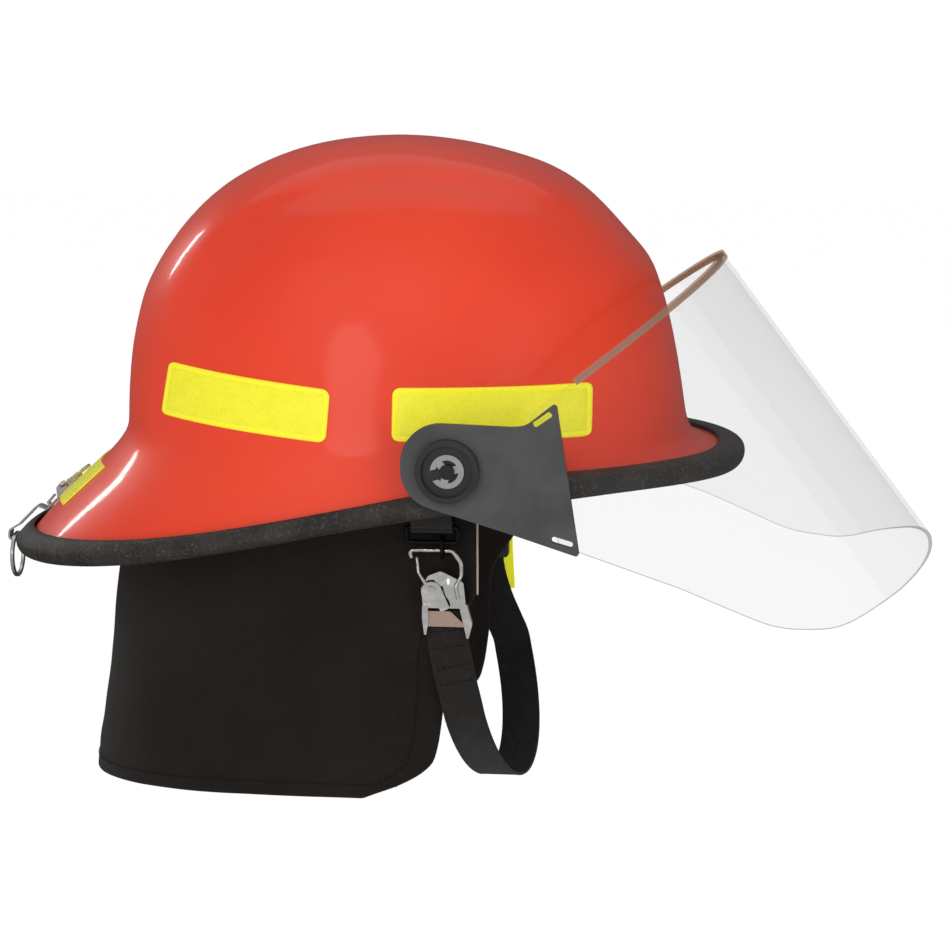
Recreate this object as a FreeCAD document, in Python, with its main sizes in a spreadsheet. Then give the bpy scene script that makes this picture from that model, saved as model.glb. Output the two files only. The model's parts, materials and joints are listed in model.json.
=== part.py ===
import FreeCAD, Part

import math
import os

# A fire helmet. +X is the wearer's left, -Y is the front and +Z is up.
# The origin is the centre of the head opening, level with the headband.
# All sizes are in millimetres.

Vec = FreeCAD.Vector
doc = FreeCAD.newDocument("FireHelmet")

# ---------------------------------------------------------------- driving sizes

SIZES = [
    ("shell_wall", 2.6),
    ("crown_raise", 3.2),
    ("ridge_half_width", 63.0),
    ("ridge_blend", 4.5),
    ("trim_height", 15.0),
    ("trim_width", 11.0),
    ("trim_slot_depth", 9.0),
    ("trim_slot_half", 2.5),
    ("liner_gap", 0.8),
    ("liner_wall", 14.0),
    ("tape_lift", 0.1),
    ("tape_wall", 0.7),
    ("band_half_width", 82.0),
    ("band_front", -92.0),
    ("band_rear", 100.0),
    ("band_wall", 1.6),
    ("band_height", 30.0),
    ("strap_width", 20.0),
    ("strap_wall", 1.6),
    ("crown_strap_top", 128.0),
    ("pivot_back", -38.6),
    ("pivot_up", 24.4),
    ("bracket_inner", 139.5),
    ("bracket_wall", 3.0),
    ("pin_radius", 3.5),
    ("pin_end", 147.0),
    ("pin_groove_radius", 2.6),
    ("pin_hole_radius", 3.58),
    ("boss_radius", 6.5),
    ("boss_end", 138.9),
    ("cup_radius", 15.0),
    ("cup_recess_radius", 12.3),
    ("cup_height", 4.5),
    ("clip_wall", 1.0),
    ("shield_wall", 2.0),
    ("shield_half_width", 139.2),
    ("shield_reach", 150.0),
    ("shield_drop", 179.4),
    ("channel_height", 3.6),
    ("channel_wall", 0.9),
    ("flap_wall", 3.2),
    ("ring_radius", 12.0),
    ("ring_wire", 1.0),
    ("pinion_pitch_radius", 6.0),
    ("rack_pitch", 3.1416),
    ("tooth_half_width", 0.58),
    ("knob_radius", 17.0),
    ("knob_height", 12.0),
    ("ratchet_up", -8.0),
    ("chin_drop", -150.0),
    ("buckle_out", 103.0),
    ("hook_wire", 1.1),
    ("rivet_radius", 2.2),
]

sheet = doc.addObject("Spreadsheet::Sheet", "Sizes")
for line, (word, number) in enumerate(SIZES, start=1):
    sheet.set("A%d" % line, word)
    sheet.set("B%d" % line, str(number))
    sheet.setAlias("B%d" % line, word)
doc.recompute()


def size(word):
    return float(sheet.get(word))


NODES = []


def keep(thing):
    """Mark an object as one of the helmet's separate pieces."""
    NODES.append(thing)
    return thing


def piece(label, shape):
    """Store a free-form shape as a separate piece."""
    if shape.Volume < 0:
        shape.reverse()
    thing = doc.addObject("Part::Feature", label)
    thing.Label = label
    thing.Shape = shape
    return keep(thing)


def bind(thing, **sizes):
    for name, formula in sizes.items():
        thing.setExpression(name, formula)
    return thing


# ------------------------------------------------------------ the shell surface

# Each row is one level of the shell from the crown down to the rim:
# front (y, z), side (x, z), rear (y, z) and how square the level is in plan.
LEVELS = [
    ((4.0, 170.0), (0.0, 170.0), (4.0, 170.0), 2.0),
    ((-30.5, 166.7), (34.0, 167.0), (40.0, 166.8), 2.1),
    ((-66.9, 156.9), (62.0, 157.0), (71.0, 157.0), 2.2),
    ((-92.2, 143.6), (83.0, 142.0), (99.6, 139.5), 2.3),
    ((-112.5, 123.7), (98.0, 120.0), (120.8, 117.8), 2.3),
    ((-125.3, 106.2), (107.0, 96.0), (134.2, 93.0), 2.3),
    ((-134.1, 76.0), (113.0, 68.0), (140.6, 61.9), 2.3),
    ((-139.5, 45.6), (117.0, 42.0), (142.1, 35.9), 2.3),
    ((-142.7, 26.0), (120.0, 26.0), (143.5, 24.0), 2.3),
    ((-150.0, 20.5), (125.0, 13.0), (157.0, 8.4), 2.3),
    ((-158.0, 18.0), (129.0, 4.5), (176.0, -9.0), 2.3),
    ((-166.0, 15.5), (132.0, -3.5), (197.0, -32.0), 2.3),
]
RIM = len(LEVELS) - 1


def smooth(value):
    value = max(0.0, min(1.0, value))
    return value * value * (3.0 - 2.0 * value)


def flat_level(index):
    """One level as a flat list; the level above the crown mirrors the one below."""
    if index < 0:
        front, side, rear, square = LEVELS[-index]
        return [rear[0], rear[1], -side[0], side[1], front[0], front[1], square]
    if index > RIM:
        last = flat_level(RIM)
        before = flat_level(RIM - 1)
        return [2.0 * a - b for a, b in zip(last, before)]
    front, side, rear, square = LEVELS[index]
    return [front[0], front[1], side[0], side[1], rear[0], rear[1], square]


def level_at(row):
    """The level at a fractional row, by a curve through the rows."""
    base = min(int(math.floor(row)), RIM - 1)
    part = row - base
    rows = [flat_level(base + step) for step in (-1, 0, 1, 2)]
    level = []
    for p0, p1, p2, p3 in zip(*rows):
        slope_in = 0.5 * (p2 - p0)
        slope_out = 0.5 * (p3 - p1)
        cube = 2.0 * p1 - 2.0 * p2 + slope_in + slope_out
        square = 3.0 * (p2 - p1) - 2.0 * slope_in - slope_out
        level.append(p1 + part * (slope_in + part * (square + part * cube)))
    return level


def base_point(row, turn):
    """A point of the smooth shell; turn is 0 at +X and 90 degrees at the rear."""
    front_y, front_z, side_x, side_z, rear_y, rear_z, power = level_at(row)
    across, along = math.cos(turn), math.sin(turn)
    reach = (abs(across) ** power + abs(along) ** power) ** (-1.0 / power)
    across, along = across * reach, along * reach
    middle, half = 0.5 * (front_y + rear_y), 0.5 * (rear_y - front_y)
    sway = 0.5 * (rear_z - front_z) * math.sin(0.5 * math.pi * along)
    bow = (0.5 * (rear_z + front_z) - side_z) * along * along
    return Vec(side_x * across, middle + half * along, side_z + sway + bow)


def outward(row, turn):
    """The outward normal of the smooth shell."""
    row = max(row, 0.05)
    down = base_point(min(row + 0.02, RIM), turn) - base_point(row - 0.02, turn)
    around = base_point(row, turn + 0.01) - base_point(row, turn - 0.01)
    normal = around.cross(down)
    normal.normalize()
    return -normal


def crown_lift(point):
    """How far the crown stands above the flanks between its two long ridges."""
    half = size("ridge_half_width") + 0.12 * point.y
    blend = size("ridge_blend")
    inside = smooth((half - abs(point.x) + blend) / (2.0 * blend))
    front = smooth((point.y + 108.0) / 45.0)
    rear = smooth((128.0 - point.y) / 45.0)
    return size("crown_raise") * inside * front * rear


def shell_point(row, turn, lift=0.0, ridged=True):
    point = base_point(row, turn)
    if ridged:
        lift = lift + crown_lift(point)
    return point + outward(row, turn) * lift


def turn_at(row, x, rear):
    """The turn at which a level reaches a given x on its front or rear half."""
    low, high = 0.0, math.pi
    for _ in range(40):
        middle = 0.5 * (low + high)
        if base_point(row, middle if rear else -middle).x > x:
            low = middle
        else:
            high = middle
    return low if rear else -low


COLUMNS = 72
CROWN_ROWS = [0.0, 0.15, 0.4, 0.7] + [1.0 + 0.25 * step for step in range(17)]
SIDE_ROWS = [5.5 + 0.5 * step for step in range(12)]


def rows_to(last):
    return [row for row in CROWN_ROWS + SIDE_ROWS if row < last - 0.2] + [last]


def ring_of(row, lift, ridged, flat_z=None):
    ring = []
    for column in range(COLUMNS):
        point = shell_point(row, 2.0 * math.pi * column / COLUMNS, lift, ridged)
        if flat_z is not None:
            point.z = flat_z
        ring.append(point)
    return ring


def skin_rings(last, lift, ridged):
    """Rings of one skin from the crown to a last row, smooth over the crown."""
    top = Vec(0.0, 4.0, LEVELS[0][0][1] + lift)
    if ridged:
        top.z += size("crown_raise")
    rings = [[Vec(top) for _ in range(COLUMNS)]]
    rings.append(ring_of(0.15, lift, ridged, top.z))
    for row in rows_to(last)[2:]:
        rings.append(ring_of(row, lift, ridged))
    return rings


def wrapped_solid(rings, closed_section):
    """A smooth solid through rings of poles, closed around the helmet."""
    surface = Part.BSplineSurface()
    across = len(rings)
    around = len(rings[0])
    if closed_section:
        knots = list(range(across + 1))
        mults = [1] * (across + 1)
    else:
        knots = list(range(across - 2))
        mults = [4] + [1] * (across - 4) + [4]
    surface.buildFromPolesMultsKnots(
        rings,
        mults,
        [1] * (around + 1),
        knots,
        list(range(around + 1)),
        closed_section,
        True,
        3,
        3,
    )
    solid = Part.Solid(Part.Shell([surface.toShape()]))
    if solid.Volume < 0:
        solid.reverse()
    return solid


def dome_wall(last, outer_lift, inner_lift, ridged):
    """A domed wall between two skins, with a rounded lower edge."""
    outer = skin_rings(last, outer_lift, ridged)
    inner = skin_rings(last, inner_lift, ridged)
    inner.reverse()
    return wrapped_solid(outer + inner, False)


def dome_plug(lift, ridged=True):
    """A solid filling the shell out to a lifted skin; used to trim other pieces."""
    rings = skin_rings(RIM, lift, ridged)
    rings.append([Vec(0.8 * p.x, 0.8 * p.y, p.z - 30.0) for p in rings[-1]])
    rings.append([Vec(0.3 * p.x, 0.3 * p.y, -90.0) for p in rings[-2]])
    rings.append([Vec(0.0, 0.0, -90.0) for _ in range(COLUMNS)])
    return wrapped_solid(rings, False)


# -------------------------------------------------------------- general helpers

def rounded_edges(points, radii, closed=True):
    """Straight edges joined by arcs; radii is one number or one for each corner."""
    points = [Vec(p) for p in points]
    count = len(points)
    if not isinstance(radii, (list, tuple)):
        radii = [radii] * count
    joints = []
    for i, point in enumerate(points):
        if not closed and i in (0, count - 1) or radii[i] <= 0.0:
            joints.append((point, None, point))
            continue
        back = points[i - 1] - point
        ahead = points[(i + 1) % count] - point
        back.normalize()
        ahead.normalize()
        half = 0.5 * back.getAngle(ahead)
        middle = back + ahead
        middle.normalize()
        cut = radii[i] / math.tan(half)
        bulge = radii[i] / math.sin(half) - radii[i]
        joints.append((point + back * cut, point + middle * bulge, point + ahead * cut))
    edges = []
    for i in range(count):
        start, middle, end = joints[i]
        if middle is not None:
            edges.append(Part.Arc(start, middle, end))
        if i < count - 1 or closed:
            following = joints[(i + 1) % count][0]
            if (following - end).Length > 1e-6:
                edges.append(Part.LineSegment(end, following))
    return edges


def wire_of(points, radii, closed=True):
    return Part.Wire([edge.toShape() for edge in rounded_edges(points, radii, closed)])


def plate(points, radii, thickness):
    """A flat plate from a rounded outline, thickened by a vector."""
    return Part.Face(wire_of(points, radii)).extrude(thickness)


def bent_wire(points, bends, radius, closed=False):
    """A round wire bent along corner points."""
    path = wire_of(points, bends, closed)
    edge = path.Edges[0]
    start = edge.valueAt(edge.FirstParameter)
    along = edge.tangentAt(edge.FirstParameter)
    circle = Part.Wire(Part.makeCircle(radius, start, along))
    return path.makePipeShell([circle], True, True)


def bent_strip(points, bends, wide, wall):
    """A flat strip bent along corner points; wide is its full width as a vector."""
    path = wire_of(points, bends, False)
    edge = path.Edges[0]
    start = edge.valueAt(edge.FirstParameter)
    deep = edge.tangentAt(edge.FirstParameter).cross(wide)
    deep.normalize()
    wide = wide * 0.5
    deep = deep * (0.5 * wall)
    corners = [start + wide + deep, start - wide + deep, start - wide - deep, start + wide - deep]
    profile = Part.makePolygon(corners + corners[:1])
    return path.makePipeShell([profile], True, True)


def ribbon(frames, width, thickness, straight=False):
    """Flat webbing through frames of (point, width direction, thickness direction)."""
    wires = []
    for point, wide, deep in frames:
        wide = Vec(wide)
        deep = Vec(deep)
        wide.normalize()
        deep.normalize()
        a = wide * (0.5 * width)
        b = deep * (0.5 * thickness)
        corners = [point + a + b, point - a + b, point - a - b, point + a - b]
        wires.append(Part.makePolygon(corners + corners[:1]))
    return Part.makeLoft(wires, True, straight)


def disc(centre, axis, radius, height):
    return Part.makeCylinder(radius, height, centre, axis)


def fused(shapes):
    whole = shapes[0]
    for shape in shapes[1:]:
        whole = whole.fuse(shape)
    return whole.removeSplitter()


def round_bar(label, radius, length, base, axis):
    """A Part cylinder whose radius and length come from the sheet."""
    bar = doc.addObject("Part::Cylinder", label)
    bar.Label = label
    bind(bar, Radius=radius, Height=length)
    bar.Placement = FreeCAD.Placement(base, FreeCAD.Rotation(Vec(0, 0, 1), axis))
    return bar


def cut_from(label, base, cutter):
    thing = doc.addObject("Part::Cut", label)
    thing.Label = label
    thing.Base = base
    thing.Tool = cutter
    return thing


def joined(label, things):
    thing = doc.addObject("Part::MultiFuse", label)
    thing.Label = label
    thing.Shapes = things
    return thing


def origin_plane(body, role):
    return [p for p in body.Origin.OriginFeatures if p.Role == role][0]


def padded_body(label, outlines, circles, length, place):
    """A body padded along X from an outline drawn in the Y-Z plane."""
    body = doc.addObject("PartDesign::Body", label)
    body.Label = label
    sketch = body.newObject("Sketcher::SketchObject", label + "_outline")
    sketch.AttachmentSupport = [(origin_plane(body, "YZ_Plane"), "")]
    sketch.MapMode = "FlatFace"
    for points, radii in outlines:
        flat = [Vec(y, z, 0) for y, z in points]
        for edge in rounded_edges(flat, radii):
            sketch.addGeometry(edge, False)
    for y, z, radius in circles:
        sketch.addGeometry(Part.Circle(Vec(y, z, 0), Vec(0, 0, 1), radius), False)
    pad = body.newObject("PartDesign::Pad", label + "_pad")
    pad.Profile = sketch
    pad.setExpression("Length", length)
    body.Tip = pad
    body.Placement = FreeCAD.Placement(place, FreeCAD.Rotation())
    return body


# ------------------------------------------------------- shell, trim and liner

PIVOT_Y = size("pivot_back")
PIVOT_Z = size("pivot_up")
plug_cut = dome_plug(0.05)


CLIP_BASE = Vec(0.0, 176.6, -7.62)
CLIP_NORMAL = Vec(0.0, 0.723, 0.691)


def clip_bore(radius):
    """The rivet hole of the rear clip, through clip, tape and shell."""
    return Part.makeCylinder(radius, 14.0, CLIP_BASE - CLIP_NORMAL * 8.0, CLIP_NORMAL)


def build_shell():
    wall = dome_wall(RIM, 0.0, -size("shell_wall"), True)
    left_half = Part.makeBox(400.0, 600.0, 600.0, Vec(0.0, -300.0, -200.0))
    halves = []
    for side, half in ((-1, wall.cut(left_half)), (1, wall.common(left_half))):
        base = Vec(side * 105.0, PIVOT_Y, PIVOT_Z)
        bore = Part.makeCylinder(size("pin_hole_radius") + 0.3, 25.0, base, Vec(side, 0, 0))
        halves.append(half.cut(bore).cut(clip_bore(1.5)))
    piece("outer_shell", halves[0].fuse(halves[1]))


def rim_frame(turn):
    """Point on the middle of the shell edge with the directions out and across it."""
    edge = shell_point(RIM, turn, -0.5 * size("shell_wall"))
    above = shell_point(RIM - 0.4, turn, -0.5 * size("shell_wall"))
    out = edge - above
    out.normalize()
    across = outward(RIM, turn)
    across = across - out * across.dot(out)
    across.normalize()
    return edge, out, across


def trim_section():
    """The channel profile of the edge trim as (out, across) pole positions."""
    half = 0.5 * size("trim_width")
    slot = size("trim_slot_half")
    depth = size("trim_slot_depth")
    nose = size("trim_height") - depth
    back = -depth
    bulge = [(nose, 0.0), (nose - 0.5, 0.45 * half), (nose - 1.7, 0.78 * half)]
    bulge += [(nose - 3.6, 0.97 * half), (nose - 6.0, half), (back + 4.5, 0.98 * half)]
    bulge += [(back + 2.0, 0.88 * half), (back + 0.6, 0.74 * half)]
    lip = [(back, slot + 0.9), (back + 0.3, slot), (back + 1.5, slot), (-2.0, slot), (0.9, slot)]
    upper = bulge + lip + [(1.5, 0.6)]
    return upper + [(out_by, -across_by) for out_by, across_by in reversed(upper[1:])]


def build_trim():
    frames = [rim_frame(2.0 * math.pi * k / 96) for k in range(96)]
    rings = []
    for out_by, across_by in trim_section():
        rings.append([e + o * out_by + a * across_by for e, o, a in frames])
    piece("edge_trim", wrapped_solid(rings, True))


def build_liner():
    outer = -size("shell_wall") - size("liner_gap")
    liner = dome_wall(7.6, outer, outer - size("liner_wall"), False)
    piece("impact_liner", liner)


build_shell()
build_trim()
build_liner()

# -------------------------------------------------------------- reflective tape

def prism_tape(label, corners, side):
    """A strip cut from a thin layer that follows the side of the shell."""
    lift = size("tape_lift")
    outline = [Vec(side * 60.0, y, z) for y, z in corners]
    block = plate(outline, 4.0, Vec(side * 90.0, 0, 0))
    strip = block.common(tape_outer).cut(tape_inner)
    piece(label, strip)


def rear_tape():
    """The strip that wraps round the rear of the brim."""
    low = size("tape_lift")
    high = low + size("tape_wall")
    wires = []
    for step in range(-7, 8):
        x = step * 7.6
        top, bottom = 8.95, 10.1
        corners = []
        for row, lift in ((top, low), (top, high), (bottom, high), (bottom, low)):
            corner = shell_point(row, turn_at(row, x, True), lift, False)
            corners.append(Vec(x, corner.y, corner.z))
        wires.append(Part.makePolygon(corners + corners[:1]))
    piece("reflective_tape_rear_brim", Part.makeLoft(wires, True, False).cut(clip_bore(1.5)))


FRONT_TAPE = [(-8.5, 59.4), (-101.4, 60.0), (-101.4, 34.5), (-8.5, 34.1)]
BACK_TAPE = [(106.5, 66.6), (21.5, 57.8), (23.3, 32.7), (111.0, 40.6)]
tape_inner = dome_plug(size("tape_lift"))
tape_outer = dome_plug(size("tape_lift") + size("tape_wall"))
for word, side in (("right", -1), ("left", 1)):
    prism_tape("reflective_tape_front_" + word, FRONT_TAPE, side)
    prism_tape("reflective_tape_back_" + word, BACK_TAPE, side)
rear_tape()


# --------------------------------------------------- headband and its ratchet

BAND_SQUARE = 2.4
BAND_MIDDLE = 0.5 * (size("band_front") + size("band_rear"))
BAND_HALF = 0.5 * (size("band_rear") - size("band_front"))
NAPE_CENTRE = 27.0
STRAP_RADIUS = 74.2
RATCHET_Z = size("ratchet_up")
NAPE = Vec(0.0, NAPE_CENTRE, RATCHET_Z)


def band_point(turn, grow=0.0):
    """Middle of the headband wall; it slopes down towards the nape."""
    across, along = math.cos(turn), math.sin(turn)
    reach = (abs(across) ** BAND_SQUARE + abs(along) ** BAND_SQUARE) ** (-1.0 / BAND_SQUARE)
    x = (size("band_half_width") + grow) * across * reach
    y = BAND_MIDDLE + (BAND_HALF + grow) * along * reach
    return Vec(x, y, 24.0 - (y - size("band_front")) / 6.0)


def band_frames(first, last, steps, grow):
    """Frames along the headband between two angles in degrees."""
    frames = []
    for step in range(steps + 1):
        turn = math.radians(first + (last - first) * step / steps)
        tangent = band_point(turn + 0.01, grow) - band_point(turn - 0.01, grow)
        deep = tangent.cross(Vec(0, 0, 1))
        frames.append((band_point(turn, grow), Vec(0, 0, 1), deep))
    return frames


def sector(inner, outer, low, high, half_angle):
    """A curved block round the nape axis, centred on the rear."""
    whole = Part.makeCylinder(outer, high - low, Vec(0, NAPE_CENTRE, low), Vec(0, 0, 1), 2 * half_angle)
    hollow = Part.makeCylinder(inner, high - low + 2, Vec(0, NAPE_CENTRE, low - 1), Vec(0, 0, 1))
    block = whole.cut(hollow)
    block.rotate(Vec(0, NAPE_CENTRE, 0), Vec(0, 0, 1), 90 - half_angle)
    return block


def rack_teeth(edge_z, direction):
    """Pointed teeth along a nape strap, in step with the ratchet pinion."""
    pitch = size("rack_pitch")
    half = size("tooth_half_width")
    shift = 0.0 if direction < 0 else 0.5 * pitch
    teeth = []
    for step in range(-5, 6):
        x = step * pitch + 0.5 * pitch
        root = edge_z - direction * 0.3
        tip = edge_z + direction * 1.7
        corners = [(x - half - 0.35, root), (x + half + 0.35, root)]
        corners += [(x + half - 0.3, tip), (x - half + 0.3, tip)]
        points = [Vec(px, NAPE_CENTRE + STRAP_RADIUS - 3, pz) for px, pz in corners]
        teeth.append(plate(points, 0.0, Vec(0, 6, 0)))
    wall = sector(STRAP_RADIUS - 0.8, STRAP_RADIUS + 0.8, RATCHET_Z - 12, RATCHET_Z + 12, 30)
    return [tooth.common(wall) for tooth in teeth]


def nape_strap(label, side):
    """A curved strap whose rack lies above (left) or below (right) the pinion."""
    inner, outer = STRAP_RADIUS - 0.8, STRAP_RADIUS + 0.8
    arm = sector(inner, outer, RATCHET_Z - 8, RATCHET_Z + 8, 14)
    arm.rotate(Vec(0, NAPE_CENTRE, 0), Vec(0, 0, 1), -side * 46)
    rack_z = RATCHET_Z + side * (size("pinion_pitch_radius") + 1.0)
    low, high = sorted((rack_z, rack_z + side * 2.6))
    bar = sector(inner, outer, low, high, 25)
    bar.rotate(Vec(0, NAPE_CENTRE, 0), Vec(0, 0, 1), -side * 9)
    piece(label, fused([arm, bar] + rack_teeth(rack_z, -side)))


def pinion_shape():
    """A twelve-tooth pinion on its shaft; the knob fits the far end."""
    pitch_radius = size("pinion_pitch_radius")
    base = NAPE_CENTRE + 73.3
    width = 1.8
    gear = disc(Vec(0, base, RATCHET_Z), Vec(0, 1, 0), pitch_radius - 1.0, width)
    half = size("tooth_half_width")
    parts = [gear]
    for step in range(12):
        corners = [(-half - 0.35, pitch_radius - 1.3), (half + 0.35, pitch_radius - 1.3)]
        corners += [(half - 0.3, pitch_radius + 0.75), (-half + 0.3, pitch_radius + 0.75)]
        points = [Vec(x, base, RATCHET_Z + z) for x, z in corners]
        tooth = plate(points, 0.0, Vec(0, width, 0))
        tooth.rotate(Vec(0, base, RATCHET_Z), Vec(0, 1, 0), 30.0 * step)
        parts.append(tooth)
    parts.append(disc(Vec(0, base + 0.5, RATCHET_Z), Vec(0, 1, 0), 3.0, 13.0))
    return fused(parts)


def knob_shape():
    """A fluted knob with a rounded face and a blind hole for the pinion shaft."""
    base = NAPE_CENTRE + 78.5
    radius = size("knob_radius")
    knob = disc(Vec(0, base, RATCHET_Z), Vec(0, 1, 0), radius, size("knob_height"))
    rims = [edge for edge in knob.Edges if len(edge.Vertexes) == 1 and edge.CenterOfMass.y > base + 1]
    knob = knob.makeFillet(2.5, rims)
    flutes = []
    for step in range(18):
        angle = math.radians(20.0 * step)
        reach = radius + 0.8
        centre = Vec(reach * math.cos(angle), base - 1, RATCHET_Z + reach * math.sin(angle))
        flutes.append(disc(centre, Vec(0, 1, 0), 2.0, size("knob_height") + 2))
    flutes.append(disc(Vec(0, base - 1, RATCHET_Z), Vec(0, 1, 0), 3.05, 10.0))
    return knob.cut(flutes)


def build_suspension():
    band = ribbon(band_frames(-237.0, 57.0, 42, 0.0), size("band_height"), size("band_wall"))
    piece("headband", band)
    brow = ribbon(band_frames(-145.0, -35.0, 16, -3.9), size("band_height") + 4, 5.0)
    piece("brow_pad", brow)
    nape_strap("nape_strap_left", 1)
    nape_strap("nape_strap_right", -1)
    body = sector(70.5, 78.0, RATCHET_Z - 13, RATCHET_Z + 13, 27)
    cavity = sector(72.9, 75.5, RATCHET_Z - 10.6, RATCHET_Z + 10.6, 35)
    bearing = disc(Vec(0, NAPE_CENTRE + 74, RATCHET_Z), Vec(0, 1, 0), 3.08, 6.0)
    piece("ratchet_housing", body.cut([cavity, bearing]))
    piece("ratchet_pinion", pinion_shape())
    piece("ratchet_knob", knob_shape())
    pad = sector(64.0, 70.2, RATCHET_Z - 16, RATCHET_Z + 16, 34)
    piece("nape_pad", pad)


CROWN_ANGLES = [0.0, 50.0, 130.0]


def strap_path(angle, level):
    """Frames of a crown strap from one end, over the head, to the other."""
    top_z = size("crown_strap_top") + level * 2.0
    frames = []
    for side in (0, 1):
        turn = math.radians(angle + 180.0 * side)
        foot = band_point(turn, 2.6)
        start_z = foot.z + 0.5 * size("band_height")
        middle = Vec(0.0, BAND_MIDDLE, 0.0)
        flat = Vec(foot.x, foot.y, 0.0) - middle
        half = []
        heights = [-9.0, -4.0, 1.0]
        for height in heights:
            half.append(middle + flat + Vec(0, 0, start_z + height))
        for step in range(1, 12):
            rise = 0.5 * math.pi * step / 11.0
            out = max(0.0, math.cos(rise)) ** 0.85
            lift = start_z + 1.0 + (top_z - start_z - 1.0) * math.sin(rise)
            half.append(middle + flat * out + Vec(0, 0, lift))
        if side:
            half = half[:-1]
            half.reverse()
        frames += half
    wide = Vec(-math.sin(math.radians(angle)), math.cos(math.radians(angle)), 0)
    out = []
    for i, point in enumerate(frames):
        ahead = frames[min(i + 1, len(frames) - 1)]
        back = frames[max(i - 1, 0)]
        across = (ahead - back).cross(wide)
        out.append((point, (ahead - back).cross(across), across))
    return out


def build_crown():
    slots = []
    top = size("crown_strap_top")
    rivet_hole = disc(Vec(0, BAND_MIDDLE, top - 6.0), Vec(0, 0, 1), 2.1, 16.0)
    for level, angle in enumerate(CROWN_ANGLES):
        frames = strap_path(angle, level)
        strap = ribbon(frames, size("strap_width"), size("strap_wall"))
        piece("crown_strap_%d" % (level + 1), strap.cut(rivet_hole))
        slots.append(ribbon(frames, size("strap_width") + 0.6, size("strap_wall") + 0.4))
    keys = []
    for angle in CROWN_ANGLES + [a + 180.0 for a in CROWN_ANGLES]:
        turn = math.radians(angle)
        foot = band_point(turn, 3.3)
        key = Part.makeBox(26.0, 4.8, 15.0, Vec(-13.0, -2.4, -10.0))
        out = Vec(foot.x, foot.y - BAND_MIDDLE, 0)
        key.rotate(Vec(0, 0, 0), Vec(0, 0, 1), math.degrees(math.atan2(out.y, out.x)) - 90.0)
        key.translate(foot + Vec(0, 0, 0.5 * size("band_height")))
        keys.append(key)
    wide_band = ribbon(band_frames(-240.0, 60.0, 42, 0.0), size("band_height") + 1, size("band_wall") + 0.5)
    straps = Part.makeCompound(slots)
    keys = [key.cut(straps).cut(wide_band) for key in keys]
    keys = [max(key.Solids, key=lambda solid: solid.Volume) for key in keys]
    piece("suspension_keys", Part.makeCompound(keys))
    pin = disc(Vec(0, BAND_MIDDLE, top - 2.6), Vec(0, 0, 1), 2.0, 9.2)
    heads = [disc(Vec(0, BAND_MIDDLE, top - 2.6), Vec(0, 0, 1), 5.0, 1.6)]
    heads.append(disc(Vec(0, BAND_MIDDLE, top + 5.0), Vec(0, 0, 1), 5.0, 1.6))
    piece("crown_rivet", fused([pin] + heads))


HANGER_UP_FRONT = 27.5
HANGER_UP_REAR = 24.0


def build_hangers():
    """Arms that carry the headband from four of its keys out to the shell."""
    arms = []
    for angle in (50.0, 130.0, 230.0, 310.0):
        foot = band_point(math.radians(angle), 3.3)
        out = Vec(foot.x, foot.y - BAND_MIDDLE, 0)
        out.normalize()
        start = foot + out * 3.7
        rear = foot.y > 0.0
        up = HANGER_UP_REAR if rear else HANGER_UP_FRONT
        end = foot.z + 7.0 if rear else up + 9.0
        line = [Vec(start.x, start.y, end), Vec(start.x, start.y, up)]
        line.append(Vec(start.x, start.y, up) + out * 60.0)
        arm = bent_strip(line, [0, 2.4, 0], Vec(-out.y, out.x, 0) * 14.0, 2.4)
        arms.append(arm.common(plug_inside))
    piece("suspension_hangers", Part.makeCompound(arms))


plug_inside = dome_plug(-size("shell_wall") - 0.05)
build_suspension()
build_crown()
build_hangers()

# ------------------------------------------------------------- neck protector

FLAP_FRONT = -47.0
FLAP_SIDE = 97.0


def flap_plan(step, side, half, rear, square):
    """Plan position along the flap: straight at the ears, rounded at the nape."""
    straight = 5
    bend = 40.0
    if step < straight:
        return Vec(side * half, FLAP_FRONT + (bend - FLAP_FRONT) * step / straight, 0)
    turn = 0.5 * math.pi * (step - straight) / 9.0
    reach = (math.cos(turn) ** square + math.sin(turn) ** square) ** (-1.0 / square)
    return Vec(side * half * math.cos(turn) * reach, bend + (rear - bend) * math.sin(turn) * reach, 0)


# Height, half width and rear reach of the hanging cloth, from its top hem down.
# The top hem follows the shell, so its height is set apart at the front and rear.
FLAP_LEVELS = [
    (18.0, 9.0, 98.8, 138.5),
    (-14.0, -14.0, 97.6, 142.0),
    (-51.0, -51.0, 97.0, 148.0),
    (-91.0, -91.0, 95.5, 152.8),
    (-131.0, -131.0, 94.5, 160.5),
    (-148.0, -146.0, 94.0, 162.0),
]


HEM_ROW = 8.62


def hem_point(here, wall):
    """Where the top hem presses onto the fastener strip inside the shell."""
    aim = math.atan2(here.y, abs(here.x))
    low, high = -0.5 * math.pi, 0.5 * math.pi
    for _ in range(40):
        middle = 0.5 * (low + high)
        point = base_point(HEM_ROW, middle)
        if math.atan2(point.y, abs(point.x)) < aim:
            low = middle
        else:
            high = middle
    depth = size("shell_wall") + 2.4 + 0.5 * wall
    point = shell_point(HEM_ROW, low, -depth, False)
    return Vec(math.copysign(point.x, here.x), point.y, point.z)


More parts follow.
